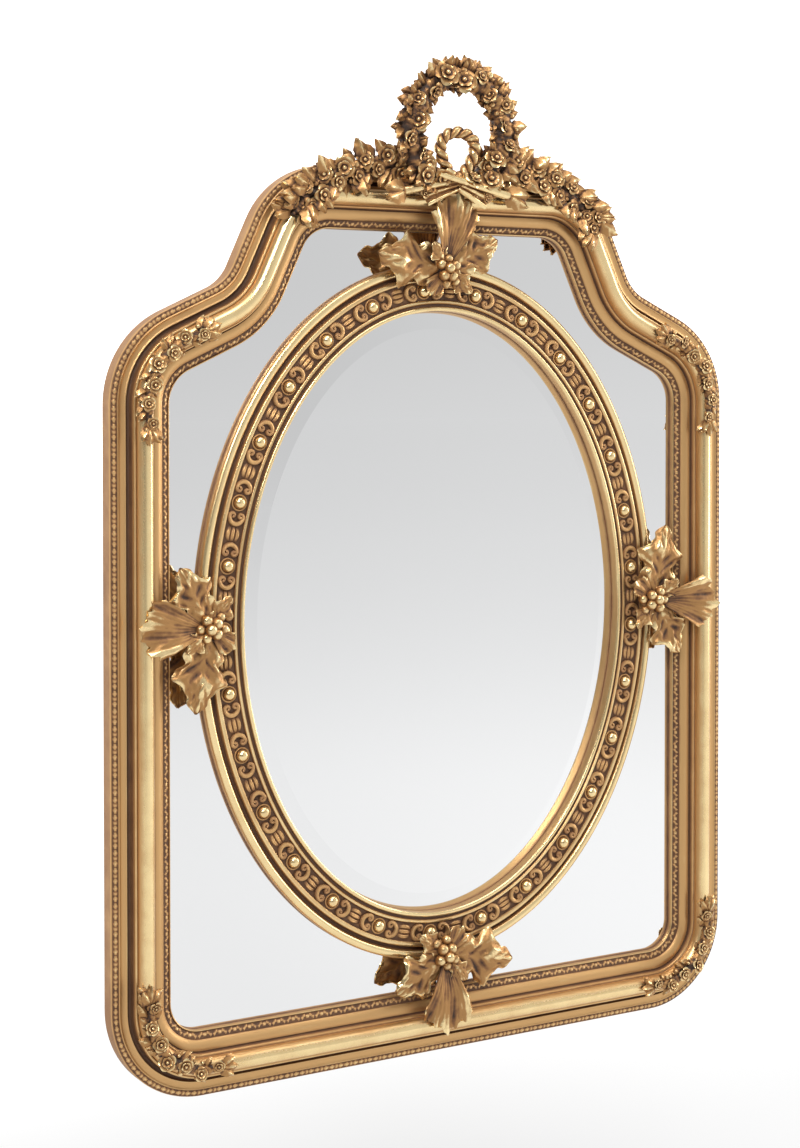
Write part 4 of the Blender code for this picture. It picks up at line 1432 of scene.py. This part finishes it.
@dataclass
class OvalGlass:
    """The oval glass with its wide ground bevel."""

    frame: OvalFrame
    thickness: float = 0.0050
    bevel_depth: float = 0.0024
    bevel_width: float = 0.0250
    edge_room: float = 0.0010

    def build(self, finishes: Finishes) -> bpy.types.Object:
        """Make the glass: an outline drawn up to its edge, inset by the bevel and raised.

        Args:
            finishes: The shared materials.

        Returns:
            The finished piece.
        """
        frame = self.frame
        inward = frame.rail - frame.lip + self.edge_room
        edge = [point - out * inward for point, out in frame.stations(frame.steps)]
        back = frame.glass_back
        glass = primitive("circle", vertices=len(edge), fill_type="NGON", radius=1.0)
        for vertex, spot in zip(glass.data.vertices, edge):
            vertex.co = (*spot, back)
        bpy.ops.object.mode_set(mode="EDIT")
        bpy.ops.mesh.select_all(action="SELECT")
        bpy.ops.mesh.extrude_region_move(
            TRANSFORM_OT_translate={"value": (0, 0, self.thickness - self.bevel_depth)})
        bpy.ops.mesh.inset(thickness=self.bevel_width + frame.lip - self.edge_room)
        bpy.ops.transform.translate(value=(0, 0, self.bevel_depth))
        bpy.ops.mesh.select_all(action="SELECT")
        bpy.ops.mesh.normals_make_consistent(inside=False)
        bpy.ops.object.mode_set(mode="OBJECT")
        mark(glass, [0.5] * len(glass.data.vertices))
        return finish_piece(glass, "oval_glass", finishes.glass, ["oval_mirror"], 1.5)


@dataclass
class LeafOrnament:
    """The casting of vine leaves and berries that sits on the oval frame at four places."""

    length: float = 0.100
    lift: float = 0.0350
    berry_radius: float = 0.0080
    bunch: tuple[tuple[float, float, float, float], ...] = (
        (0.0, 0.1, 1.5, 1.0), (1.5, 0.6, 0.9, 1.0), (-1.4, 0.7, 0.9, 0.95),
        (0.9, -1.2, 0.8, 1.05), (-0.8, -1.2, 0.9, 1.0), (0.1, 1.7, 0.7, 0.9),
        (-0.1, -2.7, 0.2, 0.9), (1.9, -2.2, 0.1, 0.85))
    boss_radius: float = 0.0150
    inset: float = 0.0080

    def pattern(self) -> bpy.types.Object:
        """Model the casting once, at the bench's origin.

        Returns:
            The casting.
        """
        long, vine, shell = self.length, Leaf.VINE, Leaf.SHELL
        small = {"columns": 24, "rows": 24, "wall": 0.0016}
        leaves = (
            (4.0, 0.0, Blade(shell, long * 1.04, 0.98, 0.0190, -0.0010, 0.4, 64, 18)),
            (63.0, -0.0008, Blade(vine, long * 0.93, 0.64, 0.0110, 0.0030, 1.9)),
            (-80.0, -0.0012, Blade(vine, long * 1.12, 0.62, 0.0100, 0.0035, 3.1)),
            (-38.0, 0.0016, Blade(vine, long * 0.46, 0.62, 0.0120, -0.0020, 0.7, **small)),
            (-142.0, 0.0004, Blade(shell, long * 0.46, 0.90, 0.0040, 0.0005, 2.2, **small)),
            (128.0, 0.0010, Blade(vine, long * 0.54, 0.56, 0.0040, 0.0005, 4.4, **small)),
        )
        parts = []
        for heading, raised, blade in leaves:
            leaf = blade.make()
            parts.append(copy_of(leaf, turn_and_move(0, 0, self.lift + raised,
                                                     -radians(heading))))
            discard(leaf)
        unit = self.berry_radius
        fruit = berry(unit)
        for x, y, z, size in self.bunch:
            parts.append(copy_of(fruit, turn_and_move(x * unit, y * unit, self.lift + z * unit,
                                                      0.0, size)))
        discard(fruit)
        boss = primitive("uv_sphere", segments=20, ring_count=12, radius=self.boss_radius)
        boss.data.transform(Matrix.Translation((0, 0, self.lift - 0.0035)))
        mark_by_height(boss, 0.0, 0.35)
        return glaze_and_shade_hollows(join("leaf_casting", parts + [boss]), 0.016, 0.60)

    def build(self, frame: OvalFrame, finishes: Finishes) -> list[bpy.types.Object]:
        """Copy the casting to the top, the left, the bottom and the right of the oval.

        Args:
            frame: The oval frame that it sits on.
            finishes: The shared materials.

        Returns:
            The four finished pieces.
        """
        across, up = frame.width / 2 - self.inset, frame.height / 2 - self.inset
        pattern = self.pattern()
        made = []
        for name, x, y, turn in (("top", 0.0, up, 0.0), ("left", -across, 0.0, pi / 2),
                                 ("bottom", 0.0, -up, pi), ("right", across, 0.0, -pi / 2)):
            twin = copy_of(pattern, turn_and_move(x, frame.centre + y, 0.0, turn))
            made.append(finish_piece(twin, f"leaves_{name}", finishes.cast,
                                     [f"leaf_ornament_{name}"], 55.0))
        discard(pattern)
        return made


@dataclass
class Spray:
    """Roses, leaves and buds laid along a line, which the garlands and the crest share."""

    rose_radius: float
    leaf_length: float
    leaf_width: float
    seed: int
    parts: list[bpy.types.Object] = field(default_factory=list)

    def __post_init__(self) -> None:
        """Model each small form once."""
        self.chance = random.Random(self.seed)
        self.rose = rose(self.rose_radius)
        self.leaf = leaflet(self.leaf_length, self.leaf_width, self.leaf_length * 0.16)
        self.bud = berry(self.rose_radius * 0.34)

    def add(self, pattern: bpy.types.Object, spot: Vector, turn: float, size: float = 1.0,
            tip: float = 0.0, roll: float = 0.0) -> None:
        """Put one copy in its place.

        Args:
            pattern: What is copied.
            spot: Where it goes.
            turn: Its turn in the bench's plane.
            size: Its size.
            tip: Its tip about x.
            roll: Its roll about y.
        """
        self.parts.append(copy_of(pattern, turn_and_move(*spot, turn, size, tip, roll)))

    def take(self, name: str) -> bpy.types.Object:
        """Join what was laid and clear the patterns away.

        Args:
            name: The name of what is joined.

        Returns:
            The joined piece.
        """
        made = join(name, self.parts)
        discard(self.rose, self.leaf, self.bud)
        return made


@dataclass
class CornerGarlands:
    """Four small garlands over the torus, on the shoulders and the bottom corners."""

    frame: OuterFrame
    length: float = 0.212
    end_room: float = 0.030
    rose_radius: float = 0.0105
    leaf_length: float = 0.0230
    leaf_width: float = 0.0078
    core_radius: float = 0.0070
    roses: int = 7
    leaves: int = 26
    buds: int = 9
    end_fan: tuple[float, ...] = (-0.55, 0.0, 0.55)

    def half_line(self) -> tuple[list[Vector], list[float]]:
        """Follow the torus's crown up the right side.

        Returns:
            Its points, and how far along it the middles of the two lower corners are.
        """
        outward = self.frame.rail - self.frame.torus_middle
        line = [Vector((0.0, self.frame.bottom - outward))]
        ends = []
        for quarter in self.frame.quarters():
            first = len(line)
            line += [point + out * outward for point, out in quarter]
            ends.append((first, len(line) - 1))
        walked = [0.0]
        for here, there in zip(line, line[1:]):
            walked.append(walked[-1] + (there - here).length)
        return line, [(walked[first] + walked[last]) / 2 for first, last in ends[:2]]

    def garland(self, middle: float, line: Sequence[Vector], seed: int) -> bpy.types.Object:
        """Lay one garland on the right side.

        Args:
            middle: How far along the line its middle is.
            line: The torus's crown.
            seed: What its random draws start from.

        Returns:
            The garland.
        """
        front = self.frame.torus_front
        spray = Spray(self.rose_radius, self.leaf_length, self.leaf_width, seed)
        chance = spray.chance
        reach = self.length - self.end_room

        def spot(along: float) -> tuple[Vector, float]:
            """Find the place and the heading at a distance along the torus."""
            distance = along
            for here, there in zip(line, line[1:]):
                span = (there - here).length
                if distance <= span:
                    way = there - here
                    return here.lerp(there, distance / span), atan2(way.y, way.x)
                distance -= span
            return line[-1], 0.0

        core, radii = [], []
        for step in range(81):
            place, _ = spot(middle + reach * (step / 80 - 0.5))
            core.append(Vector((place.x, place.y, front + 0.0008)))
            radii.append(self.core_radius * (1.0 - 0.45 * abs(step / 40 - 1) ** 2))
        spray.parts.append(roughen(wire(core, radii, resolution=4), 0.0024, 0.0060))
        for index in range(self.roses):
            share = 2 * index / (self.roses - 1) - 1
            place, heading = spot(middle + reach * 0.42 * share)
            side = (1 if index % 2 else -1) * (0.3 + 0.7 * chance.random())
            out = Vector((sin(heading), -cos(heading)))
            heart = place + out * side * 0.0062
            spray.add(spray.rose, Vector((heart.x, heart.y, front + 0.0072 - abs(side) * 0.0015)),
                      chance.uniform(0, pi), 1.12 - 0.30 * abs(share),
                      chance.uniform(-0.25, 0.25), 0.35 * side)
        for index in range(self.leaves):
            share = chance.uniform(-1.0, 1.0)
            place, heading = spot(middle + reach * 0.5 * share)
            side = 1 if index % 2 else -1
            out = Vector((sin(heading), -cos(heading))) * side
            ahead = heading - pi / 2 if share > 0 else heading + pi / 2
            turn = ahead + (-side if share > 0 else side) * chance.uniform(0.5, 1.15)
            root = place + out * 0.0040
            spray.add(spray.leaf, Vector((root.x, root.y, front + chance.uniform(0.001, 0.004))),
                      turn, chance.uniform(0.62, 0.95), -0.28, 0.0)
        for _ in range(self.buds):
            place, heading = spot(middle + reach * 0.48 * chance.uniform(-1, 1))
            out = Vector((sin(heading), -cos(heading)))
            place = place + out * chance.uniform(-0.011, 0.011)
            spray.add(spray.bud, Vector((place.x, place.y, front + 0.0045)), 0.0,
                      chance.uniform(0.7, 1.1))
        for end in (-1, 1):
            for fan in self.end_fan:
                place, heading = spot(middle + end * reach * 0.44)
                turn = heading + (-pi / 2 if end > 0 else pi / 2) + fan
                spray.add(spray.leaf, Vector((place.x, place.y, front + 0.0045)), turn,
                          1.12 - 0.2 * abs(fan), -0.06)
        return glaze_and_shade_hollows(spray.take("garland"), 0.012)

    def build(self, finishes: Finishes) -> list[bpy.types.Object]:
        """Lay the two right garlands and mirror them to the left.

        Args:
            finishes: The shared materials.

        Returns:
            The four finished pieces.
        """
        line, middles = self.half_line()
        made = []
        for seed, (level, middle) in enumerate(zip(("lower", "upper"), middles)):
            right = self.garland(middle, line, 11 + seed)
            left = copy_of(right, Matrix.Scale(-1, 4, (1, 0, 0)))
            for side, piece in (("right", right), ("left", left)):
                made.append(finish_piece(piece, f"garland_{level}_{side}",
                                         finishes.cast, [f"corner_garland_{level}_{side}"], 55.0))
        return made


@dataclass
class Crest:
    """The open wreath with its bow, the crossed torches and the two swags.

    Attributes:
        rise: Height of the wreath's middle over the top rail's.
        radius: Radius of the wreath's spine.
        forward: How far in front of the wall its middle stands.
        lean: How far its top leans forward.
        knot: Height of the bow's foot, from which its loop rises.
        strand: Radius of each of the loop's two twisted strands.
        rail_front: How far in front of the wall the moulding's torus reaches.
        core_start: Where the wreath's core starts, to the right of its open foot.
        core_turn: How far round the core goes.
        knot_roses: Small roses about the knot: their place and their size.
        swag: The right swag's spine, from the wreath down over the shoulder.
    """

    rise: float = 0.093
    radius: float = 0.0755
    forward: float = 0.0625
    lean: float = radians(6.0)
    knot: float = 0.029
    bow_height: float = 0.064
    bow_width: float = 0.068
    strand: float = 0.0054
    twists: int = 7
    rail_front: float = 0.0490
    roses: int = 17
    leaves: int = 150
    buds: int = 44
    core_radius: float = 0.0148
    core_start: float = radians(-58.0)
    core_turn: float = radians(296.0)
    rose_radius: float = 0.0158
    leaf_length: float = 0.0300
    leaf_width: float = 0.0105
    first_seed: int = 5
    rod_radius: float = 0.0048
    rod_leaves: tuple[float, ...] = (-0.26, 0.20)
    pleat_steps: tuple[int, int] = (26, 10)
    knot_roses: tuple[tuple[float, float, float], ...] = (
        (0.030, 0.004, 0.55), (0.050, 0.003, 0.50), (-0.052, 0.006, 0.50),
        (-0.046, 0.046, 0.80), (0.046, 0.046, 0.80), (0.012, 0.018, 0.45))
    knot_leaves: int = 16
    swag_roses: int = 15
    swag_leaves: int = 52
    swag_buds: int = 16
    swag_core: float = 0.0440
    swag_radius: float = 0.0120
    swag_front: float = 0.0555
    swag: tuple[tuple[float, float], ...] = ((0.046, 0.046), (0.085, 0.050), (0.130, 0.043),
                                             (0.170, 0.030), (0.205, 0.012), (0.235, -0.010),
                                             (0.247, -0.031))

    def ring_spot(self, angle: float, away: float, raised: float = 0.0) -> Vector:
        """Find a point of the wreath.

        Args:
            angle: Its angle about the wreath's middle.
            away: Its distance from the middle.
            raised: How far in front of the wreath's plane it is.

        Returns:
            The point.
        """
        up = away * sin(angle)
        return Vector((away * cos(angle), self.rise + up * cos(self.lean),
                       self.forward + raised + up * sin(self.lean)))

    def wreath(self, spray: Spray) -> None:
        """Lay the ring of roses and leaves.

        Args:
            spray: What it is laid with.
        """
        chance = spray.chance
        steps = 190
        core = [self.ring_spot(self.core_start + self.core_turn * step / steps, self.radius)
                for step in range(steps + 1)]
        stem = wire(core, [self.core_radius] * (steps + 1), resolution=6)
        spray.parts.append(roughen(stem, 0.0048, 0.0085))
        for index in range(self.roses):
            angle = radians(-70) + radians(320) * index / (self.roses - 1)
            away = self.radius + (0.0065 if index % 2 else -0.0065)
            spray.add(spray.rose, self.ring_spot(angle, away, 0.0125), chance.uniform(0, pi),
                      chance.uniform(0.68, 1.20), -0.45 * sin(angle) + chance.uniform(-0.3, 0.3),
                      0.50 * cos(angle) + chance.uniform(-0.3, 0.3))
        for index in range(self.leaves):
            angle = radians(-75) + radians(330) * chance.random()
            outer = index % 3 != 0
            away = self.radius + (0.008 if outer else -0.008)
            swing = angle - pi / 2 + (0 if outer else pi) + chance.uniform(-0.9, 0.9)
            spray.add(spray.leaf, self.ring_spot(angle, away, chance.uniform(-0.006, 0.009)),
                      swing, chance.uniform(0.58, 0.92) * (1.0 if outer else 0.75),
                      chance.uniform(-0.3, 0.75))
        for _ in range(self.buds):
            angle = radians(-70) + radians(320) * chance.random()
            away = self.radius + chance.uniform(-0.017, 0.020)
            spray.add(spray.bud, self.ring_spot(angle, away, chance.uniform(0.004, 0.012)), 0.0,
                      chance.uniform(0.7, 1.15))

    def bow(self, spray: Spray) -> None:
        """Twist the two strands of the ribbon loop round each other.

        Args:
            spray: What they are added to.
        """
        steps = 150
        middle = []
        for step in range(steps):
            angle = 2 * pi * step / steps
            up = self.bow_height * (1 - cos(angle)) / 2
            across = self.bow_width / 2 * sin(angle) * (0.42 + 0.68 * up / self.bow_height)
            middle.append(Vector((across, self.knot + up, self.forward + up * sin(self.lean))))
        for which in (0, 1):
            points = []
            for step, centre in enumerate(middle):
                ahead = (middle[(step + 1) % steps] - middle[step - 1]).normalized()
                aside = ahead.cross(Vector((0, 0, 1))).normalized()
                twist = pi * which + 2 * pi * self.twists * step / steps
                points.append(centre + self.strand * 0.68 * (aside * cos(twist)
                                                             + Vector((0, 0, 1)) * sin(twist)))
            made = wire(points, [self.strand] * steps, closed=True, resolution=3)
            levels = []
            for vertex in made.data.vertices:
                base = min(middle, key=lambda spot: (spot - vertex.co).length_squared)
                levels.append(((vertex.co - base).length / self.strand - 0.75) * 0.9)
            mark(made, levels)
            spray.parts.append(made)

    def torches(self, spray: Spray) -> None:
        """Cross the two rods over the rail below the knot.

        Args:
            spray: What they are added to.
        """
        front = self.rail_front
        for side in (-1, 1):
            start = Vector((-side * 0.034, self.knot + 0.004, front + 0.0230 + 0.003 * side))
            end = Vector((side * 0.098, self.knot - 0.023, front + 0.0150))
            points, radii, steps = [], [], 28
            for step in range(steps + 1):
                share = step / steps
                points.append(start.lerp(end, share))
                flare = 0.0022 * share ** 3 + 0.0010 * (abs(share - 0.30) < 0.03)
                ends = 0.0015 * (share < 0.04) + 0.0020 * (share > 0.97)
                radii.append(self.rod_radius + flare - ends)
            rod = wire(points, radii)
            mark(rod, [1.0] * len(rod.data.vertices))
            spray.parts.append(rod)
            heading = atan2(end.y - start.y, end.x - start.x)
            for fan in self.rod_leaves:
                spray.add(spray.leaf, start.lerp(end, 0.86) + Vector((0, 0, 0.001)),
                          heading - pi / 2 + fan, 1.30, 0.04)

    def folds(self, spray: Spray) -> None:
        """Gather the pleated ends of the ribbon under the knot.

        Args:
            spray: What they are added to.
        """
        front = self.rail_front
        for side in (-1, 1):
            def shape(a: float, b: float, side: int = side) -> tuple[Vector, float]:
                """Place one point of a pleated ribbon end."""
                away = (b + 1) / 2
                across = side * (0.002 + 0.050 * away + 0.006 * a)
                up = self.knot - 0.010 - 0.012 * away + a * (0.006 + 0.012 * away)
                pleat = cos(a * 9.5 + away * 2.0)
                return (Vector((across, up, front + 0.0235 - 0.008 * away + 0.0022 * pleat)),
                        0.95 + 0.35 * pleat)

            spray.parts.append(thicken(patch(*self.pleat_steps, shape), 0.0014))
        for x, y, size in self.knot_roses:
            spray.add(spray.rose, Vector((x, self.knot - 0.028 + y, front + 0.0165)),
                      spray.chance.uniform(0, pi), size, 0.2)
        for _ in range(self.knot_leaves):
            x = spray.chance.uniform(-0.075, 0.075)
            spray.add(spray.leaf, Vector((x, self.knot - 0.016 + abs(x) * 0.15, front + 0.007)),
                      -pi / 2 * (1 if x > 0 else -1) + spray.chance.uniform(-0.9, 0.9),
                      spray.chance.uniform(0.7, 1.0), 0.05)

    def swag_spot(self, share: float) -> tuple[Vector, float]:
        """Find a place on the right swag's spine.

        Args:
            share: How far along the spine it is, from 0 to 1.

        Returns:
            The place and the spine's heading there.
        """
        place = share * (len(self.swag) - 1)
        index = min(int(place), len(self.swag) - 2)
        here, there = Vector(self.swag[index]), Vector(self.swag[index + 1])
        return here.lerp(there, place - index), atan2(there.y - here.y, there.x - here.x)

    def swags(self, spray: Spray) -> None:
        """Lay the right swag and its mirror image.

        Args:
            spray: What they are laid with.
        """
        chance, steps = spray.chance, 120
        for side in (-1, 1):
            core, radii = [], []
            for step in range(steps + 1):
                place, _ = self.swag_spot(step / steps)
                core.append(Vector((side * place.x, place.y, self.swag_core)))
                radii.append(self.swag_radius - 0.004 * step / steps)
            stem = wire(core, radii, resolution=5)
            spray.parts.append(roughen(stem, 0.0045, 0.0080))
            for index in range(self.swag_roses):
                share = (index + 0.5) / self.swag_roses
                place, heading = self.swag_spot(share)
                swing = (1 if index % 2 else -1) * chance.uniform(0.006, 0.016)
                out = Vector((-sin(heading), cos(heading)))
                heart = place + out * swing
                spray.add(spray.rose, Vector((side * heart.x, heart.y,
                                              self.swag_front - abs(swing) * 0.25)),
                          chance.uniform(0, pi), chance.uniform(0.78, 1.10) * (1.08 - 0.3 * share),
                          -swing * 14, side * 0.2)
            for index in range(self.swag_leaves):
                share = chance.random()
                place, heading = self.swag_spot(share)
                over = 1 if index % 5 < 3 else -1
                out = Vector((-sin(heading), cos(heading))) * over
                root = place + out * 0.008
                lean = (-pi / 2 + heading + over * chance.uniform(0.5, 1.5)) * side
                spray.add(spray.leaf, Vector((side * root.x, root.y,
                                              chance.uniform(0.046, 0.056))),
                          lean, chance.uniform(0.75, 1.15), chance.uniform(-0.15, 0.3))
            for _ in range(self.swag_buds):
                place, heading = self.swag_spot(chance.random())
                out = Vector((-sin(heading), cos(heading)))
                spot = place + out * chance.uniform(-0.020, 0.022)
                spray.add(spray.bud, Vector((side * spot.x, spot.y, 0.0520)), 0.0,
                          chance.uniform(0.7, 1.2))

    def build(self, finishes: Finishes) -> list[bpy.types.Object]:
        """Make the crest in four pieces and gild it.

        Args:
            finishes: The shared materials.

        Returns:
            The finished pieces.
        """
        made = []
        layers = (("crest_wreath", (self.wreath,)), ("crest_bow", (self.bow,)),
                  ("crest_torches", (self.torches, self.folds)),
                  ("crest_swags", (self.swags,)))
        for seed, (name, steps) in enumerate(layers):
            spray = Spray(self.rose_radius, self.leaf_length, self.leaf_width,
                          self.first_seed + seed)
            for step in steps:
                step(spray)
            piece = glaze_and_shade_hollows(spray.take(name), 0.020, 1.15, 10)
            made.append(finish_piece(piece, name, finishes.cast, ["crest"], 55.0))
        return made


@dataclass(frozen=True)
class Lamp:
    """One soft rectangular light, which hangs at a place and is turned to its aim."""

    name: str
    place: tuple[float, float, float]
    aim: float
    size: tuple[float, float]
    power: float

    def hang(self) -> None:
        """Hang the light, aimed at its height on the middle of the mirror."""
        data = bpy.data.lights.new(self.name, "AREA")
        data.shape = "RECTANGLE"
        data.size, data.size_y = self.size
        data.energy = self.power
        made = place_new(self.name, data)
        made.location = self.place
        way = Vector((0.0, 0.0, self.aim)) - Vector(self.place)
        made.rotation_euler = way.to_track_quat("-Z", "Y").to_euler()


@dataclass
class Studio:
    """A pale floor and backdrop, soft lights and the camera at the photograph's place.

    Attributes:
        azimuth: The camera's turn in degrees.
        elevation: How far it looks down, in degrees.
        eye_height: The height of the glass's middle, from which the floor meets the room.
        floor_tones: The floor's share of the room's tone at each depth, front to back, painted into
            its glow; the dip at the wall plane is a painted shadow under the mirror.
        floor_pales: The depths between which it turns white behind the wall plane.
        corner_fades: The depths between which the room's dark corner, painted into what reflections
            see of the floor, fades from it.
    """

    camera_place: tuple[float, float, float] = (-1.482, -2.471, -0.247)
    azimuth: float = -30.03
    elevation: float = 1.374
    lens: float = 63.54
    shift: float = -0.129
    floor: float = -1.62
    floor_size: float = 80.0
    floor_middle: float = -16.0
    eye_height: float = -0.50
    floor_tones: tuple[tuple[float, float], ...] = ((-56.0, 0.810), (-25.0, 0.785), (-12.0, 0.765),
                                                    (-6.0, 0.735), (-2.5, 0.725), (0.3, 0.685),
                                                    (2.6, 0.80))
    floor_pales: tuple[float, float] = (0.3, 2.4)
    corner_fades: tuple[float, float] = (-9.0, -2.5)
    backdrop_size: float = 60.0
    backdrop_place: float = 14.0
    lamps: tuple[Lamp, ...] = (Lamp("key", (-2.4, -2.2, 1.6), -0.5, (0.7, 1.7), 40.0),
                               Lamp("front", (-2.2, -4.2, 3.0), -0.3, (0.8, 0.8), 66.0),
                               Lamp("fill", (3.4, -1.0, 0.3), -0.6, (1.0, 2.6), 36.0),
                               Lamp("top", (0.0, -1.0, 2.6), -0.4, (3.0, 1.2), 45.0))

    def camera(self) -> None:
        """Set up the camera."""
        data = bpy.data.cameras.new("camera")
        data.lens = self.lens
        data.sensor_width = 36.0
        data.shift_y = self.shift
        made = place_new("camera", data)
        made.location = self.camera_place
        made.rotation_euler = (pi / 2 - radians(self.elevation), 0.0, radians(self.azimuth))
        bpy.context.scene.camera = made

    def surface(self, name: str, tone: float, brightness: float) -> NodeSheet:
        """A plain pale surface that glows with light of its own.

        Args:
            name: Its name.
            tone: How much of the light it gives back.
            brightness: How strongly it glows.

        Returns:
            Its sheet.
        """
        sheet = NodeSheet.surface(name)
        sheet.feed(sheet.shader, Base_Color=(tone, tone, tone, 1.0), Roughness=0.9,
                   Specular_IOR_Level=0.0, Emission_Color=(1.0, 1.0, 1.0, 1.0),
                   Emission_Strength=brightness)
        return sheet

    def room_group(self) -> bpy.types.NodeTree:
        """The room's grey in each direction.

        Returns:
            A group that gives its tone, by height and side, and its dark corner.
        """
        sheet = node_group("room_tone", {"Direction": "Vector"},
                           {"Tone": "Float", "Corner": "Float"})
        way = sheet.ask["Direction"]
        parts = sheet.add("SeparateXYZ", Vector=way).outputs
        aim = sheet.add("VectorMath", {"operation": "DOT_PRODUCT"}, _0=way,
                        _1=Vector((-0.90, -0.43, 0.05)).normalized()).outputs["Value"]
        height = sheet.spread(parts["Z"], (-0.29, 0.07), (0.965, 0.625))
        side = sheet.spread(parts["X"], (0.20, 0.75), (0.96, 1.12))
        sheet.feed(sheet.give, Tone=sheet.math("MULTIPLY", height, side),
                   Corner=sheet.spread(aim, (0.22, 0.80), (1.0, 0.30)))
        return sheet.tree

    def floor_finish(self, room: bpy.types.NodeTree) -> bpy.types.Material:
        """The floor's glowing surface, as grey as the room beyond it and paler towards the
        backdrop, with a painted shadow under the mirror and the room's dark corner painted in for
        reflections.

        Args:
            room: The room's tones.

        Returns:
            The material.
        """
        sheet = self.surface("pale_floor", 0.10, 1.15)
        where = sheet.place()
        lower = sheet.add("VectorMath", {"operation": "SUBTRACT"}, _0=where,
                          _1=(0.0, 0.0, self.eye_height - self.floor))
        unit = sheet.add("VectorMath", {"operation": "NORMALIZE"}, _0=lower.outputs["Vector"])
        beyond = sheet.add("Group", {"node_tree": room}, Direction=unit.outputs["Vector"]).outputs
        depth = sheet.add("SeparateXYZ", Vector=where).outputs["Y"]
        start, end = self.floor_tones[0][0], self.floor_tones[-1][0]
        share = sheet.add("MapRange", Value=depth, From_Min=start, From_Max=end)
        shade = sheet.add("ValToRGB", Fac=share.outputs["Result"])
        stops = shade.color_ramp.elements
        while len(stops) < len(self.floor_tones):
            stops.new(0.5)
        for stop, (at, tone) in zip(stops, self.floor_tones):
            stop.position = (at - start) / (end - start)
            stop.color = (tone, tone, tone, 1.0)
        # Reflections, but not the camera, see the room's dark corner painted into the floor's glow.
        unseen = sheet.add("Math", {"operation": "SUBTRACT", "use_clamp": True},
                           _0=sheet.spread(depth, self.corner_fades, (1.0, 0.0)),
                           _1=sheet.add("LightPath").outputs["Is Camera Ray"])
        corner = sheet.mix(unseen.outputs["Value"], 1.0, beyond["Corner"], "FLOAT")
        tone = sheet.math("MULTIPLY", beyond["Tone"], shade.outputs["Color"])
        sheet.feed(sheet.shader, Emission_Color=sheet.mix(
            sheet.spread(depth, self.floor_pales), sheet.math("MULTIPLY", tone, corner), 1.0,
            "FLOAT"))
        return sheet.made

    def backdrop(self, room: bpy.types.NodeTree) -> None:
        """Lay the floor and stand the backdrop well behind the wall plane.

        Args:
            room: The room's tones.
        """
        floor = primitive("plane", size=self.floor_size, location=(0.0, 0.0, self.floor))
        floor.data.transform(Matrix.Translation((0.0, self.floor_middle, 0.0)))
        floor.name = "floor"
        floor.data.materials.append(self.floor_finish(room))
        back = primitive("plane", size=self.backdrop_size, rotation=(pi / 2, 0.0, 0.0),
                         location=(0.0, self.backdrop_place, 0.0))
        back.name = "backdrop"
        back.data.materials.append(self.surface("pale_backdrop", 0.90, 1.0).made)

    def world(self, room: bpy.types.NodeTree) -> None:
        """Surround the studio with a soft grey that is lighter towards the floor.

        Args:
            room: The room's tones.
        """
        made = bpy.data.worlds.new("studio")
        made.use_nodes = True
        bpy.context.scene.world = made
        sheet = NodeSheet(made.node_tree)
        way = sheet.add("TexCoord").outputs["Generated"]
        tones = sheet.add("Group", {"node_tree": room}, Direction=way).outputs
        sheet.feed(made.node_tree.nodes["Background"], Color=sheet.mix(
            sheet.add("LightPath").outputs["Is Camera Ray"],
            sheet.math("MULTIPLY", tones["Tone"], tones["Corner"]), 1.0, "FLOAT"))

    def build(self) -> None:
        """Set the stage."""
        room = self.room_group()
        self.camera()
        self.backdrop(room)
        self.world(room)
        for lamp in self.lamps:
            lamp.hang()


def dress_kept_nodes(frame: dict, finishes: Finishes) -> None:
    """Give the CAD nodes that stay in view their finished materials.

    Args:
        finishes: The shared materials.
    """
    for name, node in frame["nodes"].items():
        finish = None
        if name.startswith("margin_mirror"):
            finish = finishes.glass
        elif name == "backing_board":
            finish = finishes.board
        if finish is not None:
            for holder in node.material_slots:
                holder.material = finish
            log.info("%s keeps its solid", name)


def main() -> None:
    """Dress the mirror and set the stage."""
    logging.basicConfig(level=logging.INFO, format="%(name)s: %(message)s")
    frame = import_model()
    finishes = Finishes()
    dress_kept_nodes(frame, finishes)
    outer = OuterFrame()
    oval = OvalFrame()
    outer.build(finishes)
    oval.build(finishes)
    OvalGlass(oval).build(finishes)
    LeafOrnament().build(oval, finishes)
    CornerGarlands(outer).build(finishes)
    Crest().build(finishes)
    Studio().build()
    bpy.context.scene.view_settings.view_transform = "Standard"


if __name__ == "__main__":
    main()
